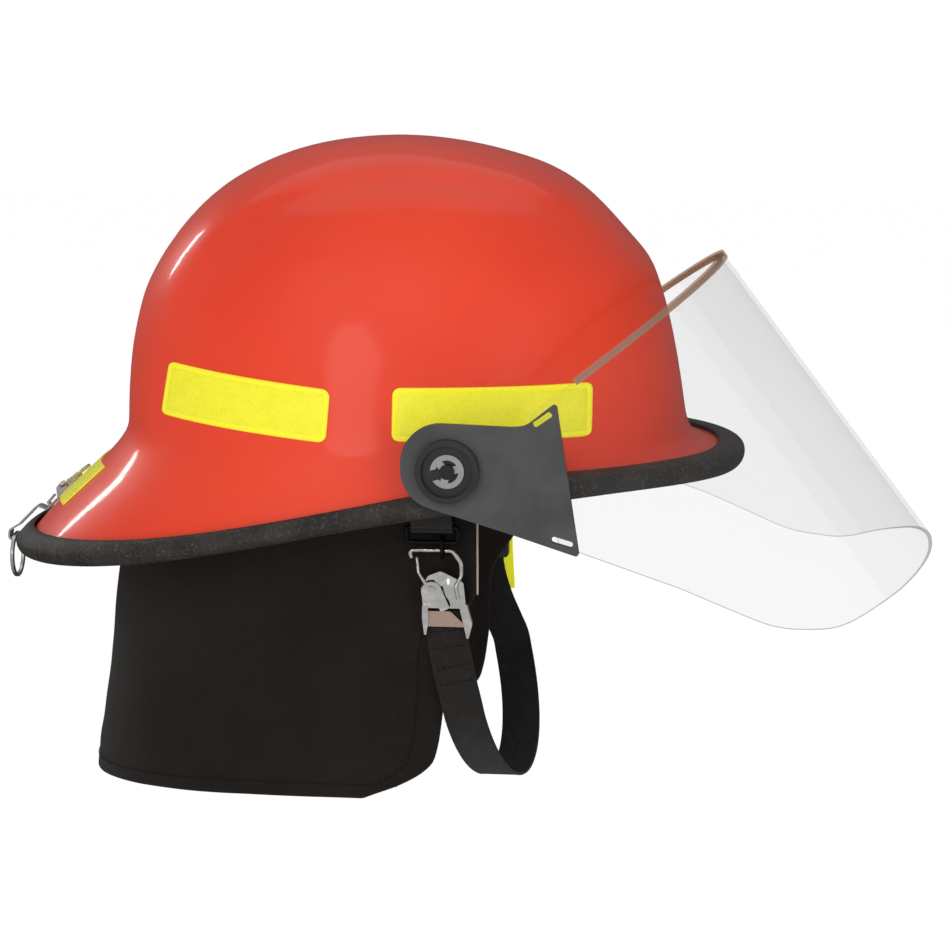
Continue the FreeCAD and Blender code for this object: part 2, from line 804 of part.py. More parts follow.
def flap_wire(step, side, wall):
    outer, inner = [], []
    for front_z, rear_z, half, rear in FLAP_LEVELS:
        here = flap_plan(step, side, half, rear, 2.6)
        ahead = flap_plan(min(step + 1, 14), side, half, rear, 2.6)
        back = flap_plan(max(step - 1, 0), side, half, rear, 2.6)
        along = ahead - back
        if step == 14:
            along = Vec(-side, 0, 0)
        normal = Vec(along.y, -along.x, 0)
        normal.normalize()
        normal = normal * side
        share = smooth((here.y - FLAP_FRONT) / (rear - FLAP_FRONT))
        here.z = front_z + (rear_z - front_z) * share
        if front_z > 0.0 and step > 2:
            here = hem_point(here, wall)
        outer.append(here + normal * (0.5 * wall))
        inner.append(here - normal * (0.5 * wall))
    inner.reverse()
    corners = outer + inner
    return Part.makePolygon(corners + corners[:1])


def build_neck_protector():
    wall = size("flap_wall")
    wires = [flap_wire(step, 1, wall) for step in range(15)]
    wires += [flap_wire(step, -1, wall) for step in range(13, -1, -1)]
    cloth = Part.makeLoft(wires, True, True)
    edge = [(-47.2, -44.0), (-60.0, -44.0), (-60.0, -175.0), (24.0, -175.0), (11.0, -147.0)]
    edge += [(-8.6, -139.6), (-26.0, -129.0), (-31.5, -97.0), (-31.5, -66.0)]
    front = plate([Vec(-130, y, z) for y, z in edge], 0.0, Vec(260, 0, 0))
    piece("neck_protector", cloth.cut(front))


def fastener_frames():
    """The hook strip inside the shell that the top hem of the flap presses onto."""
    frames = []
    for step in range(33):
        turn = math.radians(-2.0 + 184.0 * step / 32.0)
        row = 8.75
        point = shell_point(row, turn, -size("shell_wall") - 1.4, False)
        upper = shell_point(row - 0.2, turn, -size("shell_wall") - 1.4, False)
        frames.append((point, upper - point, outward(row, turn)))
    return frames


build_neck_protector()
piece("flap_fastener_strip", ribbon(fastener_frames(), 14.0, 1.6))

# --------------------------------------------------------- faceshield assembly

ALONG = Vec(0.0, -0.6015, -0.7989)
AHEAD = Vec(0.0, -0.7989, 0.6015)
PIVOT = Vec(0.0, PIVOT_Y, PIVOT_Z)


def shield_curve(inset, back):
    """The bent section of the shield: flat cheeks and a rounded front."""
    half = size("shield_half_width") - inset
    reach = size("shield_reach") - inset
    bend = 45.0
    points = []
    for step in range(-24, 25):
        turn = 0.5 * math.pi * step / 24.0
        across, ahead = math.sin(turn), math.cos(turn)
        grow = (abs(across) ** 2.25 + ahead ** 2.25) ** (-1.0 / 2.25)
        points.append(Vec(half * across * grow, 0, 0) + AHEAD * (bend + (reach - bend) * ahead * grow))
    curve = Part.BSplineCurve()
    curve.interpolate(points)
    left = Vec(-half, 0, 0) + AHEAD * back
    right = Vec(half, 0, 0) + AHEAD * back
    return curve.toShape(), Part.makeLine(left, points[0]), Part.makeLine(points[-1], right), left, right


def bent_sheet(outer_inset, inner_inset, top, bottom, back=15.0):
    """A sheet bent to the shield section, between two depths below the pivot."""
    outer, outer_left, outer_right, left_a, right_a = shield_curve(outer_inset, back)
    inner, inner_left, inner_right, left_b, right_b = shield_curve(inner_inset, back)
    edges = [outer_left, outer, outer_right, Part.makeLine(right_a, right_b)]
    edges += [inner_right, inner, inner_left, Part.makeLine(left_b, left_a)]
    face = Part.Face(Part.Wire(Part.__sortEdges__(edges)))
    face.translate(PIVOT + ALONG * top)
    return face.extrude(ALONG * (bottom - top))


def side_outline(corners):
    """Corner points of (ahead, along) pairs, placed left of the helmet."""
    return [Vec(-160.0, 0, 0) + PIVOT + AHEAD * s + ALONG * q for s, q in corners]


def build_shield():
    drop = size("shield_drop")
    sheet_form = bent_sheet(0.0, size("shield_wall"), 1.5, drop + 1.0)
    corners = [(20.0, 60.0), (46.0, 1.5), (156.0, 1.5), (156.0, 180.2), (132.0, 176.6)]
    corners += [(101.0, 169.5), (79.0, 151.0), (54.0, 108.0), (26.0, 67.0)]
    radii = [6.0, 4.0, 0.0, 0.0, 40.0, 40.0, 60.0, 60.0, 4.0]
    outline = plate(side_outline(corners), radii, Vec(320, 0, 0))
    piece("faceshield", sheet_form.common(outline))
    wall = size("channel_wall")
    outer = bent_sheet(-wall, size("shield_wall") + wall, 0.0, size("channel_height"))
    slot = bent_sheet(-0.1, size("shield_wall") + 0.1, wall, size("channel_height") + 1.0)
    front = [(72.0, -3.0), (160.0, -3.0), (160.0, 12.0), (72.0, 12.0)]
    keep_front = plate(side_outline(front), 0.0, Vec(320, 0, 0))
    piece("shield_top_channel", outer.cut(slot).common(keep_front))


BRACKET = [
    (22.5, 22.8), (-29.0, 21.0), (-36.0, 21.3), (-50.6, 33.0),
    (-61.8, -39.8), (-28.2, -29.0), (22.5, -13.8),
]
BRACKET_RADII = [19.0, 10.0, 12.0, 1.6, 1.4, 40.0, 19.0]
SLOT_UPPER = [(-39.2, 22.9), (-47.6, 28.9), (-49.2, 26.6), (-40.8, 20.6)]
SLOT_LOWER = [(-48.4, -32.6), (-58.2, -35.4), (-59.0, -32.6), (-49.2, -29.8)]


def shifted(points):
    return [(PIVOT_Y + y, PIVOT_Z + z) for y, z in points]


def build_bracket(word, side):
    outlines = [(shifted(BRACKET), BRACKET_RADII)]
    outlines += [(shifted(SLOT_UPPER), 1.2), (shifted(SLOT_LOWER), 1.2)]
    holes = [(PIVOT_Y, PIVOT_Z, size("pin_hole_radius"))]
    inner, wall = size("bracket_inner"), size("bracket_wall")
    base = inner if side > 0 else -inner - wall
    keep(padded_body("visor_bracket_" + word, outlines, holes, "Sizes.bracket_wall", Vec(base, 0, 0)))


def build_shield_studs(word, side):
    """Snap studs that hold the shield in the two slots of a bracket."""
    studs = []
    for slot in (SLOT_UPPER, SLOT_LOWER):
        middle_y = sum(y for y, z in slot) / 4.0
        middle_z = sum(z for y, z in slot) / 4.0
        corners = []
        for y, z in slot:
            y = middle_y + 0.8 * (y - middle_y)
            z = middle_z + 0.8 * (z - middle_z)
            corners.append(Vec(0, PIVOT_Y + y, PIVOT_Z + z))
        stud = plate(corners, 0.6, Vec(side * 3.4, 0, 0))
        stud.translate(Vec(side * (size("shield_half_width") + 0.02), 0, 0))
        studs.append(stud)
    piece("shield_studs_" + word, Part.makeCompound(studs))


def ring_piece(label, outer, inner, height, start, side):
    """A drilled disc on the visor pivot axis; start is its inner face."""
    base = Vec(side * start, PIVOT_Y, PIVOT_Z)
    axis = Vec(side, 0, 0)
    body = round_bar(label + "_blank", outer, height, base, axis)
    hole = round_bar(label + "_hole", inner, "%s + 2" % height, base - axis, axis)
    return cut_from(label, body, hole)


def build_pivot(word, side):
    axis = Vec(side, 0, 0)
    groove = 144.2
    boss_base = Vec(side * 105.0, PIVOT_Y, PIVOT_Z)
    boss = Part.makeCylinder(size("boss_radius"), size("boss_end") - 105.0, boss_base, axis)
    bore = Part.makeCylinder(size("pin_hole_radius"), 60.0, Vec(side * 100.0, PIVOT_Y, PIVOT_Z), axis)
    piece("pivot_boss_" + word, boss.cut(plug_cut).cut(bore))
    hole = "Sizes.pin_hole_radius"
    washers.append(ring_piece("friction_washer_" + word, "10", hole, "0.5", 138.95, side))
    label = "tension_cup_blank_" + word
    cup = ring_piece(label, "Sizes.cup_radius", hole, "Sizes.cup_height", 142.52, side)
    recess_base = Vec(side * 144.1, PIVOT_Y, PIVOT_Z)
    recess = round_bar("tension_cup_recess_" + word, "Sizes.cup_recess_radius", "10", recess_base, axis)
    keep(cut_from("tension_cup_" + word, cup, recess))
    stem_base = Vec(side * 106.0, PIVOT_Y, PIVOT_Z)
    stem = round_bar("pin_stem_" + word, "Sizes.pin_radius", "%s" % (groove - 106.0), stem_base, axis)
    neck = round_bar("pin_neck_" + word, "Sizes.pin_groove_radius", "Sizes.pin_end - 106", stem_base, axis)
    tip_base = Vec(side * (groove + 1.2), PIVOT_Y, PIVOT_Z)
    tip_height = "%s" % (size("pin_end") - groove - 1.2)
    tip = round_bar("pin_tip_" + word, "Sizes.pin_radius", tip_height, tip_base, axis)
    keep(joined("pivot_pin_" + word, [stem, neck, tip]))
    nut = Part.makeCylinder(6.0, 12.0, Vec(side * 107.0, PIVOT_Y, PIVOT_Z), axis)
    nuts.append(nut.common(plug_inside).cut(bore))
    clip_base = Vec(side * (groove + 0.1), PIVOT_Y, PIVOT_Z)
    clip = Part.makeCylinder(8.0, size("clip_wall"), clip_base, axis)
    clip = clip.cut(Part.makeCylinder(5.4, 3.0, clip_base - axis, axis))
    prongs = []
    for angle in (75.0, 195.0, 315.0):
        prong = Part.makeBox(size("clip_wall"), 3.6, 4.0, Vec(0, -1.8, 2.72))
        prong.rotate(Vec(0, 0, 0), Vec(1, 0, 0), angle)
        prong.translate(clip_base if side > 0 else clip_base - Vec(size("clip_wall"), 0, 0))
        prongs.append(prong)
    mouth = Part.makeBox(6.0, 5.0, 12.0, Vec(-3.0, -2.5, 3.5))
    mouth.rotate(Vec(0, 0, 0), Vec(1, 0, 0), -105.0)
    mouth.translate(clip_base)
    clips.append(fused([clip] + prongs).cut(mouth))


washers, nuts, clips = [], [], []
build_shield()
for word, side in (("right", -1), ("left", 1)):
    build_bracket(word, side)
    build_shield_studs(word, side)
    build_pivot(word, side)
washer_pair = doc.addObject("Part::Compound", "friction_washers")
washer_pair.Label = "friction_washers"
washer_pair.Links = washers
keep(washer_pair)
piece("pivot_nuts", Part.makeCompound(nuts))
piece("e_clips", Part.makeCompound(clips))

# ------------------------------------------------------------------ chin strap

OUT = size("buckle_out") + 1.0
TAB_Y, TAB_Z = -24.0, 12.0


def strap_anchor(word, side):
    """A moulded lug inside the shell that a hanger tab is riveted to."""
    axis = Vec(side, 0, 0)
    lug = Part.makeCylinder(3.6, 14.0, Vec(side * 112.4, TAB_Y, TAB_Z), axis).common(plug_inside)
    bore = Part.makeCylinder(1.9, 40.0, Vec(side * 100.0, TAB_Y, TAB_Z), axis)
    piece("strap_anchor_" + word, lug.cut(bore))
    head = Part.makeCylinder(4.0, 1.5, Vec(side * 108.8, TAB_Y, TAB_Z), axis)
    stem = Part.makeCylinder(1.8, 6.5, Vec(side * 109.5, TAB_Y, TAB_Z), axis)
    return fused([head, stem])


def hanger_tab(word, side):
    """Webbing tab from the rivet down to the strap ring, folded round its top bar."""
    line = [(111.5, 16.6), (111.5, 2.0), (OUT + 2.2, -9.0)]
    points = [Vec(side * x, TAB_Y - 2.0, z) for x, z in line]
    tab = bent_strip(points, [0, 8.0, 0], Vec(0, size("strap_width"), 0), size("strap_wall"))
    fold = Part.makeCylinder(3.0, size("strap_width"), Vec(side * OUT, -36.0, -9.0), Vec(0, 1, 0))
    eye = Part.makeCylinder(1.45, 40.0, Vec(side * OUT, -46.0, -9.0), Vec(0, 1, 0))
    bore = Part.makeCylinder(1.95, 40.0, Vec(side * 100.0, TAB_Y, TAB_Z), Vec(side, 0, 0))
    piece("hanger_tab_" + word, fused([tab, fold]).cut([eye, bore]))


def strap_ring(word, side):
    """A rectangular wire ring hanging in the folded end of a tab."""
    corners = [(-38.5, -9.0), (-13.5, -9.0), (-13.5, -16.5), (-38.5, -16.5)]
    middle = [(-26.0, -9.0)]
    points = [Vec(side * OUT, y, z) for y, z in middle + corners[1:] + corners[:1]]
    piece("strap_ring_" + word, bent_wire(points, [0.0, 2.0, 2.0, 2.0, 2.0], 1.25, True))


def chin_path():
    """Middle line of the webbing from the buckle, under the chin, to the far ring."""
    side_x = OUT - 2.9
    points = [(-side_x, -32.0, -50.0), (-side_x, -33.0, -64.0), (-side_x, -36.5, -82.0)]
    points.append((-side_x + 0.6, -39.5, -95.0))
    low = size("chin_drop") + 95.0
    for step in range(1, 24):
        turn = math.pi * step / 24.0
        share = math.sin(turn)
        points.append((-(side_x - 0.6) * math.cos(turn), -39.5 - 15.0 * share, -95.0 + low * share ** 0.9))
    points.append((side_x - 0.6, -37.5, -95.0))
    points += [(side_x, -32.0, -82.0), (side_x, -27.5, -64.0)]
    points += [(side_x + 0.4, -26.8, -40.0), (side_x + 0.6, -26.5, -22.0)]
    return [Vec(*p) for p in points]


def webbing(points):
    frames = []
    for i, point in enumerate(points):
        run = points[min(i + 1, len(points) - 1)] - points[max(i - 1, 0)]
        run.normalize()
        wide = Vec(0, 1, 0) - run * run.y
        frames.append((point, wide, run.cross(wide)))
    return frames


def build_chin_strap():
    points = chin_path()
    frames = webbing(points)
    band = ribbon(frames, size("strap_width"), size("strap_wall"), True)
    fold = Part.makeCylinder(3.2, size("strap_width"), Vec(OUT, -36.5, -16.5), Vec(0, 1, 0))
    eye = Part.makeCylinder(1.45, 60.0, Vec(OUT, -56.0, -16.5), Vec(0, 1, 0))
    piece("chin_strap", fused([band, fold]).cut(eye))
    slot = ribbon(frames[-5:], size("strap_width") + 0.8, size("strap_wall") + 0.6, True)
    block = Part.makeBox(6.4, 26.0, 11.0, Vec(OUT - 5.0, -40.1, -61.0))
    edges = [e for e in block.Edges if abs(e.tangentAt(e.FirstParameter).x) > 0.9]
    piece("strap_slide", block.makeFillet(2.0, edges).cut(slot))
    tab = [(-41.5, -46.0), (-33.0, -46.0), (-34.5, -80.0), (-43.0, -80.0)]
    tab = [Vec(OUT + 1.7, y, z) for y, z in tab]
    pull = plate(tab, 1.5, Vec(1.4, 0, 0))
    piece("pull_tab", pull)


def side_plate(corners, radii, start, wall):
    """A plate of the buckle; start is the distance of its inner face from the middle."""
    points = [Vec(-(OUT + start), y, z) for y, z in corners]
    return plate(points, radii, Vec(-wall, 0, 0))


HOOK_PIVOT = (-25.8, -40.3)


def build_buckle():
    frame = [(-16.0, -24.2), (-14.8, -20.4), (-35.8, -20.4), (-40.0, -26.5)]
    frame += [(-40.0, -32.6), (-37.4, -37.6), (-38.5, -44.0)]
    frame = [Vec(-OUT, y, z) for y, z in frame]
    hook = bent_wire(frame, [0, 1.6, 2.6, 4.0, 4.0, 3.0, 0], size("hook_wire"))
    back = [(-20.4, -38.5), (-24.0, -33.0), (-30.0, -30.6), (-35.0, -33.0)]
    back += [(-41.0, -36.0), (-42.4, -48.8), (-21.4, -48.8)]
    back = side_plate(back, [3.0, 3.0, 3.0, 2.0, 2.0, 1.0, 1.0], -2.0, 1.6)
    hub = Part.makeCylinder(2.7, 1.4, Vec(-(OUT - 0.6), -30.0, -35.0), Vec(-1, 0, 0))
    left = [(-21.2, -46.5), (-24.0, -47.5), (-24.2, -55.0)]
    left += [(-23.2, -61.6), (-22.2, -61.6), (-21.2, -54.0)]
    left = side_plate(left, [1.0, 0.8, 2.0, 0.4, 0.4, 2.0], -2.0, 3.6)
    right = [(-38.8, -45.5), (-42.8, -46.0), (-45.6, -56.0)]
    right += [(-43.8, -63.0), (-42.8, -63.0), (-41.0, -55.0)]
    right = side_plate(right, [1.0, 2.0, 4.0, 0.4, 0.4, 4.0], -2.0, 3.6)
    bar = side_plate(
        [(-23.0, -50.4), (-34.6, -50.2), (-41.8, -57.0), (-41.8, -57.9), (-23.0, -57.9)],
        [0.6, 3.0, 0.2, 0.2, 0.6], -2.0, 1.4)
    rivet_hole = Part.makeCylinder(1.7, 30.0, Vec(-(OUT - 10), *HOOK_PIVOT), Vec(-1, 0, 0))
    piece("quick_release_hook", fused([back, hub, left, right, bar, hook]).cut(rivet_hole))
    gate_disc = Part.makeCylinder(4.9, 1.3, Vec(-(OUT + 1.3), *HOOK_PIVOT), Vec(-1, 0, 0))
    tail = side_plate([(-24.0, -36.6), (-29.5, -37.0), (-34.6, -48.2), (-30.4, -50.0)], 1.0, 1.3, 1.3)
    arm_path = [Vec(-(OUT + 1.9), -23.2, -37.2), Vec(-(OUT + 1.2), -19.4, -31.0), Vec(-OUT, -18.6, -24.4)]
    arm = bent_wire(arm_path, [0, 4.0, 0], 0.85)
    tip = Part.makeSphere(0.95, arm_path[-1])
    piece("quick_release_gate", fused([gate_disc, tail, arm, tip]).cut(rivet_hole))
    head = Part.makeCylinder(2.6, 0.9, Vec(-(OUT + 2.7), *HOOK_PIVOT), Vec(-1, 0, 0))
    stem = Part.makeCylinder(1.6, 5.2, Vec(-(OUT - 2.0), *HOOK_PIVOT), Vec(-1, 0, 0))
    piece("gate_rivet", fused([head, stem]))
    coil = Part.makeHelix(0.75, 0.76, 2.6)
    start = Part.Wire(Part.makeCircle(0.3, Vec(2.6, 0, 0), Vec(0, 1, 0.05)))
    spring = Part.Wire(coil).makePipeShell([start], True, True)
    spring.rotate(Vec(0, 0, 0), Vec(0, 1, 0), -90.0)
    spring.translate(Vec(-(OUT + 0.07), *HOOK_PIVOT))
    piece("gate_spring", spring)
    link = [(0.0, -13.6), (3.1, -13.6), (3.1, -23.6), (-3.1, -23.6), (-3.1, -13.6)]
    points = [Vec(-OUT + x, -31.0, z) for x, z in link]
    piece("strap_link", bent_wire(points, [0, 2.9, 2.9, 2.9, 2.9], 0.85, True))


anchor_rivets = []
for word, side in (("right", -1), ("left", 1)):
    anchor_rivets.append(strap_anchor(word, side))
    hanger_tab(word, side)
    strap_ring(word, side)
piece("anchor_rivets", Part.makeCompound(anchor_rivets))
build_chin_strap()
build_buckle()

# --------------------------------------------------------------- rear hardware

RING_Y, RING_TOP = 207.2, -35.2


def build_rear():
    line = [(172.9, -3.75), (190.2, -21.85), (195.3, -19.9), (205.9, -30.6)]
    line += [(210.4, -33.0), (210.8, -37.6), (206.2, -39.0)]
    points = [Vec(0, y, z) for y, z in line]
    strip = bent_strip(points, [0, 1.5, 2.0, 2.4, 2.0, 1.8, 0], Vec(8, 0, 0), 0.9)
    post = [(179.8, -12.6), (184.6, -17.4), (185.3, -10.6), (182.4, -6.6), (179.6, -8.6)]
    post = plate([Vec(-2.6, y, z) for y, z in post], [0.3, 0.3, 1.5, 1.8, 1.8], Vec(5.2, 0, 0))
    tongue = [(188.6, -21.4), (190.8, -18.4), (187.2, -14.2)]
    tongue += [(186.4, -14.9), (189.4, -18.5), (187.6, -20.6)]
    tongue = plate([Vec(-2.0, y, z) for y, z in tongue], 0.2, Vec(4.0, 0, 0))
    hinge_hole = Part.makeCylinder(1.0, 20.0, Vec(-10, 182.3, -9.3), Vec(1, 0, 0))
    piece("hanger_clip", fused([strip, post, tongue]).cut(hinge_hole).cut(clip_bore(1.5)))
    slope = Vec(0, -0.80, 0.60)
    start = Vec(0, 182.3, -9.3)
    far = start + slope * 17.0
    half = Vec(4.6, 0, 0)
    corners = [start, start + half, far + half, far - half, start - half]
    piece("clip_bail", bent_wire(corners, [0, 1.6, 3.0, 3.0, 1.6], 0.9, True))
    radius = size("ring_radius")
    centre = Vec(0, RING_Y - 1.0, RING_TOP - radius + 1.0)
    ring = Part.makeCylinder(radius, 2.0, centre, Vec(0, 1, 0)).cut(
        Part.makeCylinder(radius - 2.0 * size("ring_wire"), 4.0, centre - Vec(0, 1, 0), Vec(0, 1, 0)))
    rims = [edge for edge in ring.Edges if len(edge.Vertexes) == 1]
    piece("hang_ring", ring.makeChamfer(0.35, rims))
    top = CLIP_BASE + CLIP_NORMAL * 0.47
    head = Part.makeSphere(2.6, top - CLIP_NORMAL)
    head = head.common(Part.makeCylinder(5.0, 5.0, top, CLIP_NORMAL))
    stem = Part.makeCylinder(1.4, 5.6, CLIP_BASE - CLIP_NORMAL * 5.0, CLIP_NORMAL)
    foot = Part.makeCylinder(2.8, 0.9, CLIP_BASE - CLIP_NORMAL * 5.4, CLIP_NORMAL)
    piece("clip_rivet", fused([head, stem, foot]))


build_rear()
# ------------------------------------------------------------------------ write

def write_nodes():
    doc.recompute()
    os.makedirs("parts", exist_ok=True)
    for thing in doc.Objects:
        if "Invalid" in thing.State or "Error" in thing.State:
            raise RuntimeError("broken object " + thing.Label)
    for thing in NODES:
        shape = thing.Shape
        if shape.isNull() or not shape.isValid() or shape.Volume <= 0:
            raise RuntimeError("bad shape " + thing.Label)
        shape.exportStep(os.path.join("parts", thing.Label + ".step"))


write_nodes()
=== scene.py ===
import json
import math

import bmesh
import bpy
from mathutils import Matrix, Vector, noise
from mathutils.bvhtree import BVHTree


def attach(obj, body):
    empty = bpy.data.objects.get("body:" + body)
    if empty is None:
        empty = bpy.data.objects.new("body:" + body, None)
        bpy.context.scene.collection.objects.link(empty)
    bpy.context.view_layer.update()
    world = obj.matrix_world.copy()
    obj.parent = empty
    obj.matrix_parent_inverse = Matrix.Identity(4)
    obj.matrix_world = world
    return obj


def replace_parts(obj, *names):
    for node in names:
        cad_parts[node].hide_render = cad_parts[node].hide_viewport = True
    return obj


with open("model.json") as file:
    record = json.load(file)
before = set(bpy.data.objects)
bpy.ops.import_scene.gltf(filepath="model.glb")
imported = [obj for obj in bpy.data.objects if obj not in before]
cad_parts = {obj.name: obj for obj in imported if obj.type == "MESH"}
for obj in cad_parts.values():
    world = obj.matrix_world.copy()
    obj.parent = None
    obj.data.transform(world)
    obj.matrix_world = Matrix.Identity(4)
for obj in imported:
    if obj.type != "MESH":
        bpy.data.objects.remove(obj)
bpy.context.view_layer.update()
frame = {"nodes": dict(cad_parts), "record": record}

# Looks for the fire helmet. Everything is in metres in the CAD frame: +X is the
# wearer's left, -Y is the front and +Z is up.

MM = 0.001
NODES = frame["nodes"]
SCENE = bpy.context.scene


# ------------------------------------------------------------ material helpers

class Paint:
    """A procedural material: one Principled shader and the nodes that feed it."""

    def __init__(self, name, color, roughness, metallic=0.0, **values):
        self.material = bpy.data.materials.new(name)
        self.material.use_nodes = True
        self.tree = self.material.node_tree
        self.shader = self.tree.nodes["Principled BSDF"]
        self.shader.inputs["Base Color"].default_value = (*color, 1.0)
        self.shader.inputs["Roughness"].default_value = roughness
        self.shader.inputs["Metallic"].default_value = metallic
        for word, value in values.items():
            self.shader.inputs[word.replace("_", " ")].default_value = value

    def node(self, kind, inputs, **settings):
        """Add a node; inputs maps an input name or number to a value or a socket."""
        made = self.tree.nodes.new("ShaderNode" + kind)
        for word, value in settings.items():
            setattr(made, word, value)
        for key, value in inputs.items():
            self.feed(made.inputs[key], value)
        return made

    def feed(self, socket, value):
        if isinstance(value, bpy.types.NodeSocket):
            self.tree.links.new(value, socket)
        else:
            socket.default_value = value

    def set(self, word, value):
        self.feed(self.shader.inputs[word], value)

    def glow(self, color, strength):
        """Light that the surface gives off by itself."""
        self.shader.inputs["Emission Color"].default_value = (*color, 1.0)
        self.shader.inputs["Emission Strength"].default_value = strength

    def place(self, kind="Object", scale=(1.0, 1.0, 1.0), turn=(0.0, 0.0, 0.0)):
        source = self.node("TexCoord", {}).outputs[kind]
        mapped = self.node("Mapping", {"Vector": source, "Scale": scale, "Rotation": turn})
        return mapped.outputs[0]

    def noise(self, where, scale, detail=3.0, rough=0.5):
        inputs = {"Vector": where, "Scale": scale, "Detail": detail, "Roughness": rough}
        return self.node("TexNoise", inputs).outputs[0]

    def cells(self, where, scale, feature="F1"):
        inputs = {"Vector": where, "Scale": scale}
        return self.node("TexVoronoi", inputs, feature=feature).outputs["Distance"]

    def span(self, value, low, high, out_low=0.0, out_high=1.0):
        """Map a value from one range to another, held at both ends."""
        inputs = {0: value, 1: low, 2: high, 3: out_low, 4: out_high}
        return self.node("MapRange", inputs).outputs[0]

    def math(self, operation, first, second=0.0):
        return self.node("Math", {0: first, 1: second}, operation=operation).outputs[0]

    def mix(self, share, first, second):
        first = first if isinstance(first, bpy.types.NodeSocket) else (*first, 1.0)
        second = second if isinstance(second, bpy.types.NodeSocket) else (*second, 1.0)
        inputs = {0: share, 6: first, 7: second}
        return self.node("Mix", inputs, data_type="RGBA").outputs[2]

    def bump(self, height, depth, strength=1.0, below=None):
        """Bend the surface by a height field; depth is in metres."""
        inputs = {"Height": height, "Distance": depth, "Strength": strength}
        if below is not None:
            inputs["Normal"] = below
        made = self.node("Bump", inputs).outputs[0]
        self.set("Normal", made)
        return made

    def split(self, where):
        made = self.node("SeparateXYZ", {0: where})
        return made.outputs[0], made.outputs[1], made.outputs[2]

    def waves(self, value, pitch):
        """A sine wave along a value, one crest every pitch."""
        return self.math("SINE", self.math("MULTIPLY", value, 2.0 * math.pi / pitch))


def shell_paint():
    """Glossy red moulding: faint clouds of colour, orange peel and light scuffs."""
    paint = Paint(
        "shell_red", (0.86, 0.045, 0.014), 0.42,
        Specular_IOR_Level=0.25, Coat_Weight=0.4, Coat_Roughness=0.12,
    )
    where = paint.place()
    cloud = paint.noise(where, 9.0, 4.0)
    color = paint.mix(paint.span(cloud, 0.3, 0.7), (0.74, 0.042, 0.014), (0.80, 0.056, 0.019))
    fleck = paint.noise(where, 1400.0, 2.0)
    color = paint.mix(paint.span(fleck, 0.68, 0.8, 0.0, 0.35), color, (0.95, 0.16, 0.08))
    paint.set("Base Color", color)
    haze = paint.noise(where, 26.0, 5.0)
    paint.set("Roughness", paint.span(haze, 0.35, 0.75, 0.38, 0.5))
    scuffs = paint.place(scale=(60.0, 900.0, 700.0), turn=(0.3, 0.2, 0.5))
    lines = paint.span(paint.noise(scuffs, 1.0, 2.0), 0.72, 0.78)
    coat = paint.math("ADD", paint.math("MULTIPLY", lines, 0.12), 0.10)
    paint.set("Coat Roughness", paint.math("ADD", coat, paint.span(haze, 0.55, 0.8, 0.0, 0.05)))
    peel = paint.noise(where, 260.0, 2.0)
    wide = paint.noise(where, 34.0, 2.0)
    first = paint.bump(peel, 0.00006, 0.6)
    paint.bump(wide, 0.0007, 0.12, first)
    return paint.material


def rubber_paint():
    """Dull black rubber with a coarse grain and dusty specks."""
    paint = Paint("trim_rubber", (0.02, 0.016, 0.014), 0.5, Specular_IOR_Level=0.4)
    where = paint.place()
    grain = paint.noise(where, 620.0, 5.0, 0.7)
    blotch = paint.noise(where, 70.0, 4.0)
    color = paint.mix(paint.span(blotch, 0.35, 0.7), (0.013, 0.011, 0.010), (0.030, 0.025, 0.021))
    color = paint.mix(paint.span(grain, 0.56, 0.7, 0.0, 0.85), color, (0.12, 0.10, 0.082))
    paint.set("Base Color", color)
    paint.set("Roughness", paint.span(grain, 0.3, 0.7, 0.62, 0.42))
    first = paint.bump(grain, 0.0006, 0.75)
    paint.bump(blotch, 0.002, 0.35, first)
    return paint.material


def plastic_paint(name, color, roughness, grain_scale=900.0, lift=0.02, deep=0.00012):
    """Moulded plastic: fine grain, slight mottling and paler rubbed spots."""
    paint = Paint(name, color, roughness)
    where = paint.place()
    grain = paint.noise(where, grain_scale, 4.0, 0.65)
    mottle = paint.noise(where, 45.0, 5.0)
    pale = tuple(min(1.0, c * 1.5 + lift) for c in color)
    shade = paint.mix(paint.span(mottle, 0.35, 0.72), color, pale)
    rub = paint.span(paint.noise(where, 190.0, 6.0, 0.7), 0.60, 0.78, 0.0, 0.5)
    shade = paint.mix(rub, shade, tuple(min(1.0, c * 2.0 + lift) for c in color))
    paint.set("Base Color", shade)
    paint.set("Roughness", paint.span(mottle, 0.3, 0.7, roughness - 0.06, roughness + 0.08))
    paint.bump(grain, deep, 0.8)
    return paint.material


def foam_paint():
    """Dark moulded foam made of small beads."""
    paint = Paint("liner_foam", (0.03, 0.03, 0.032), 0.9)
    where = paint.place()
    beads = paint.cells(where, 330.0, "DISTANCE_TO_EDGE")
    edge = paint.span(beads, 0.0, 0.12)
    paint.set("Base Color", paint.mix(edge, (0.012, 0.012, 0.013), (0.04, 0.04, 0.042)))
    paint.bump(edge, 0.0004, 0.7)
    return paint.material


def woven_height(paint, where, across, along):
    """Threads over and under each other; across and along are thread pitches."""
    u, v, _ = paint.split(where)
    over = paint.waves(u, across)
    under = paint.waves(v, along)
    return paint.math("MULTIPLY", over, under), paint.math("ABSOLUTE", over)


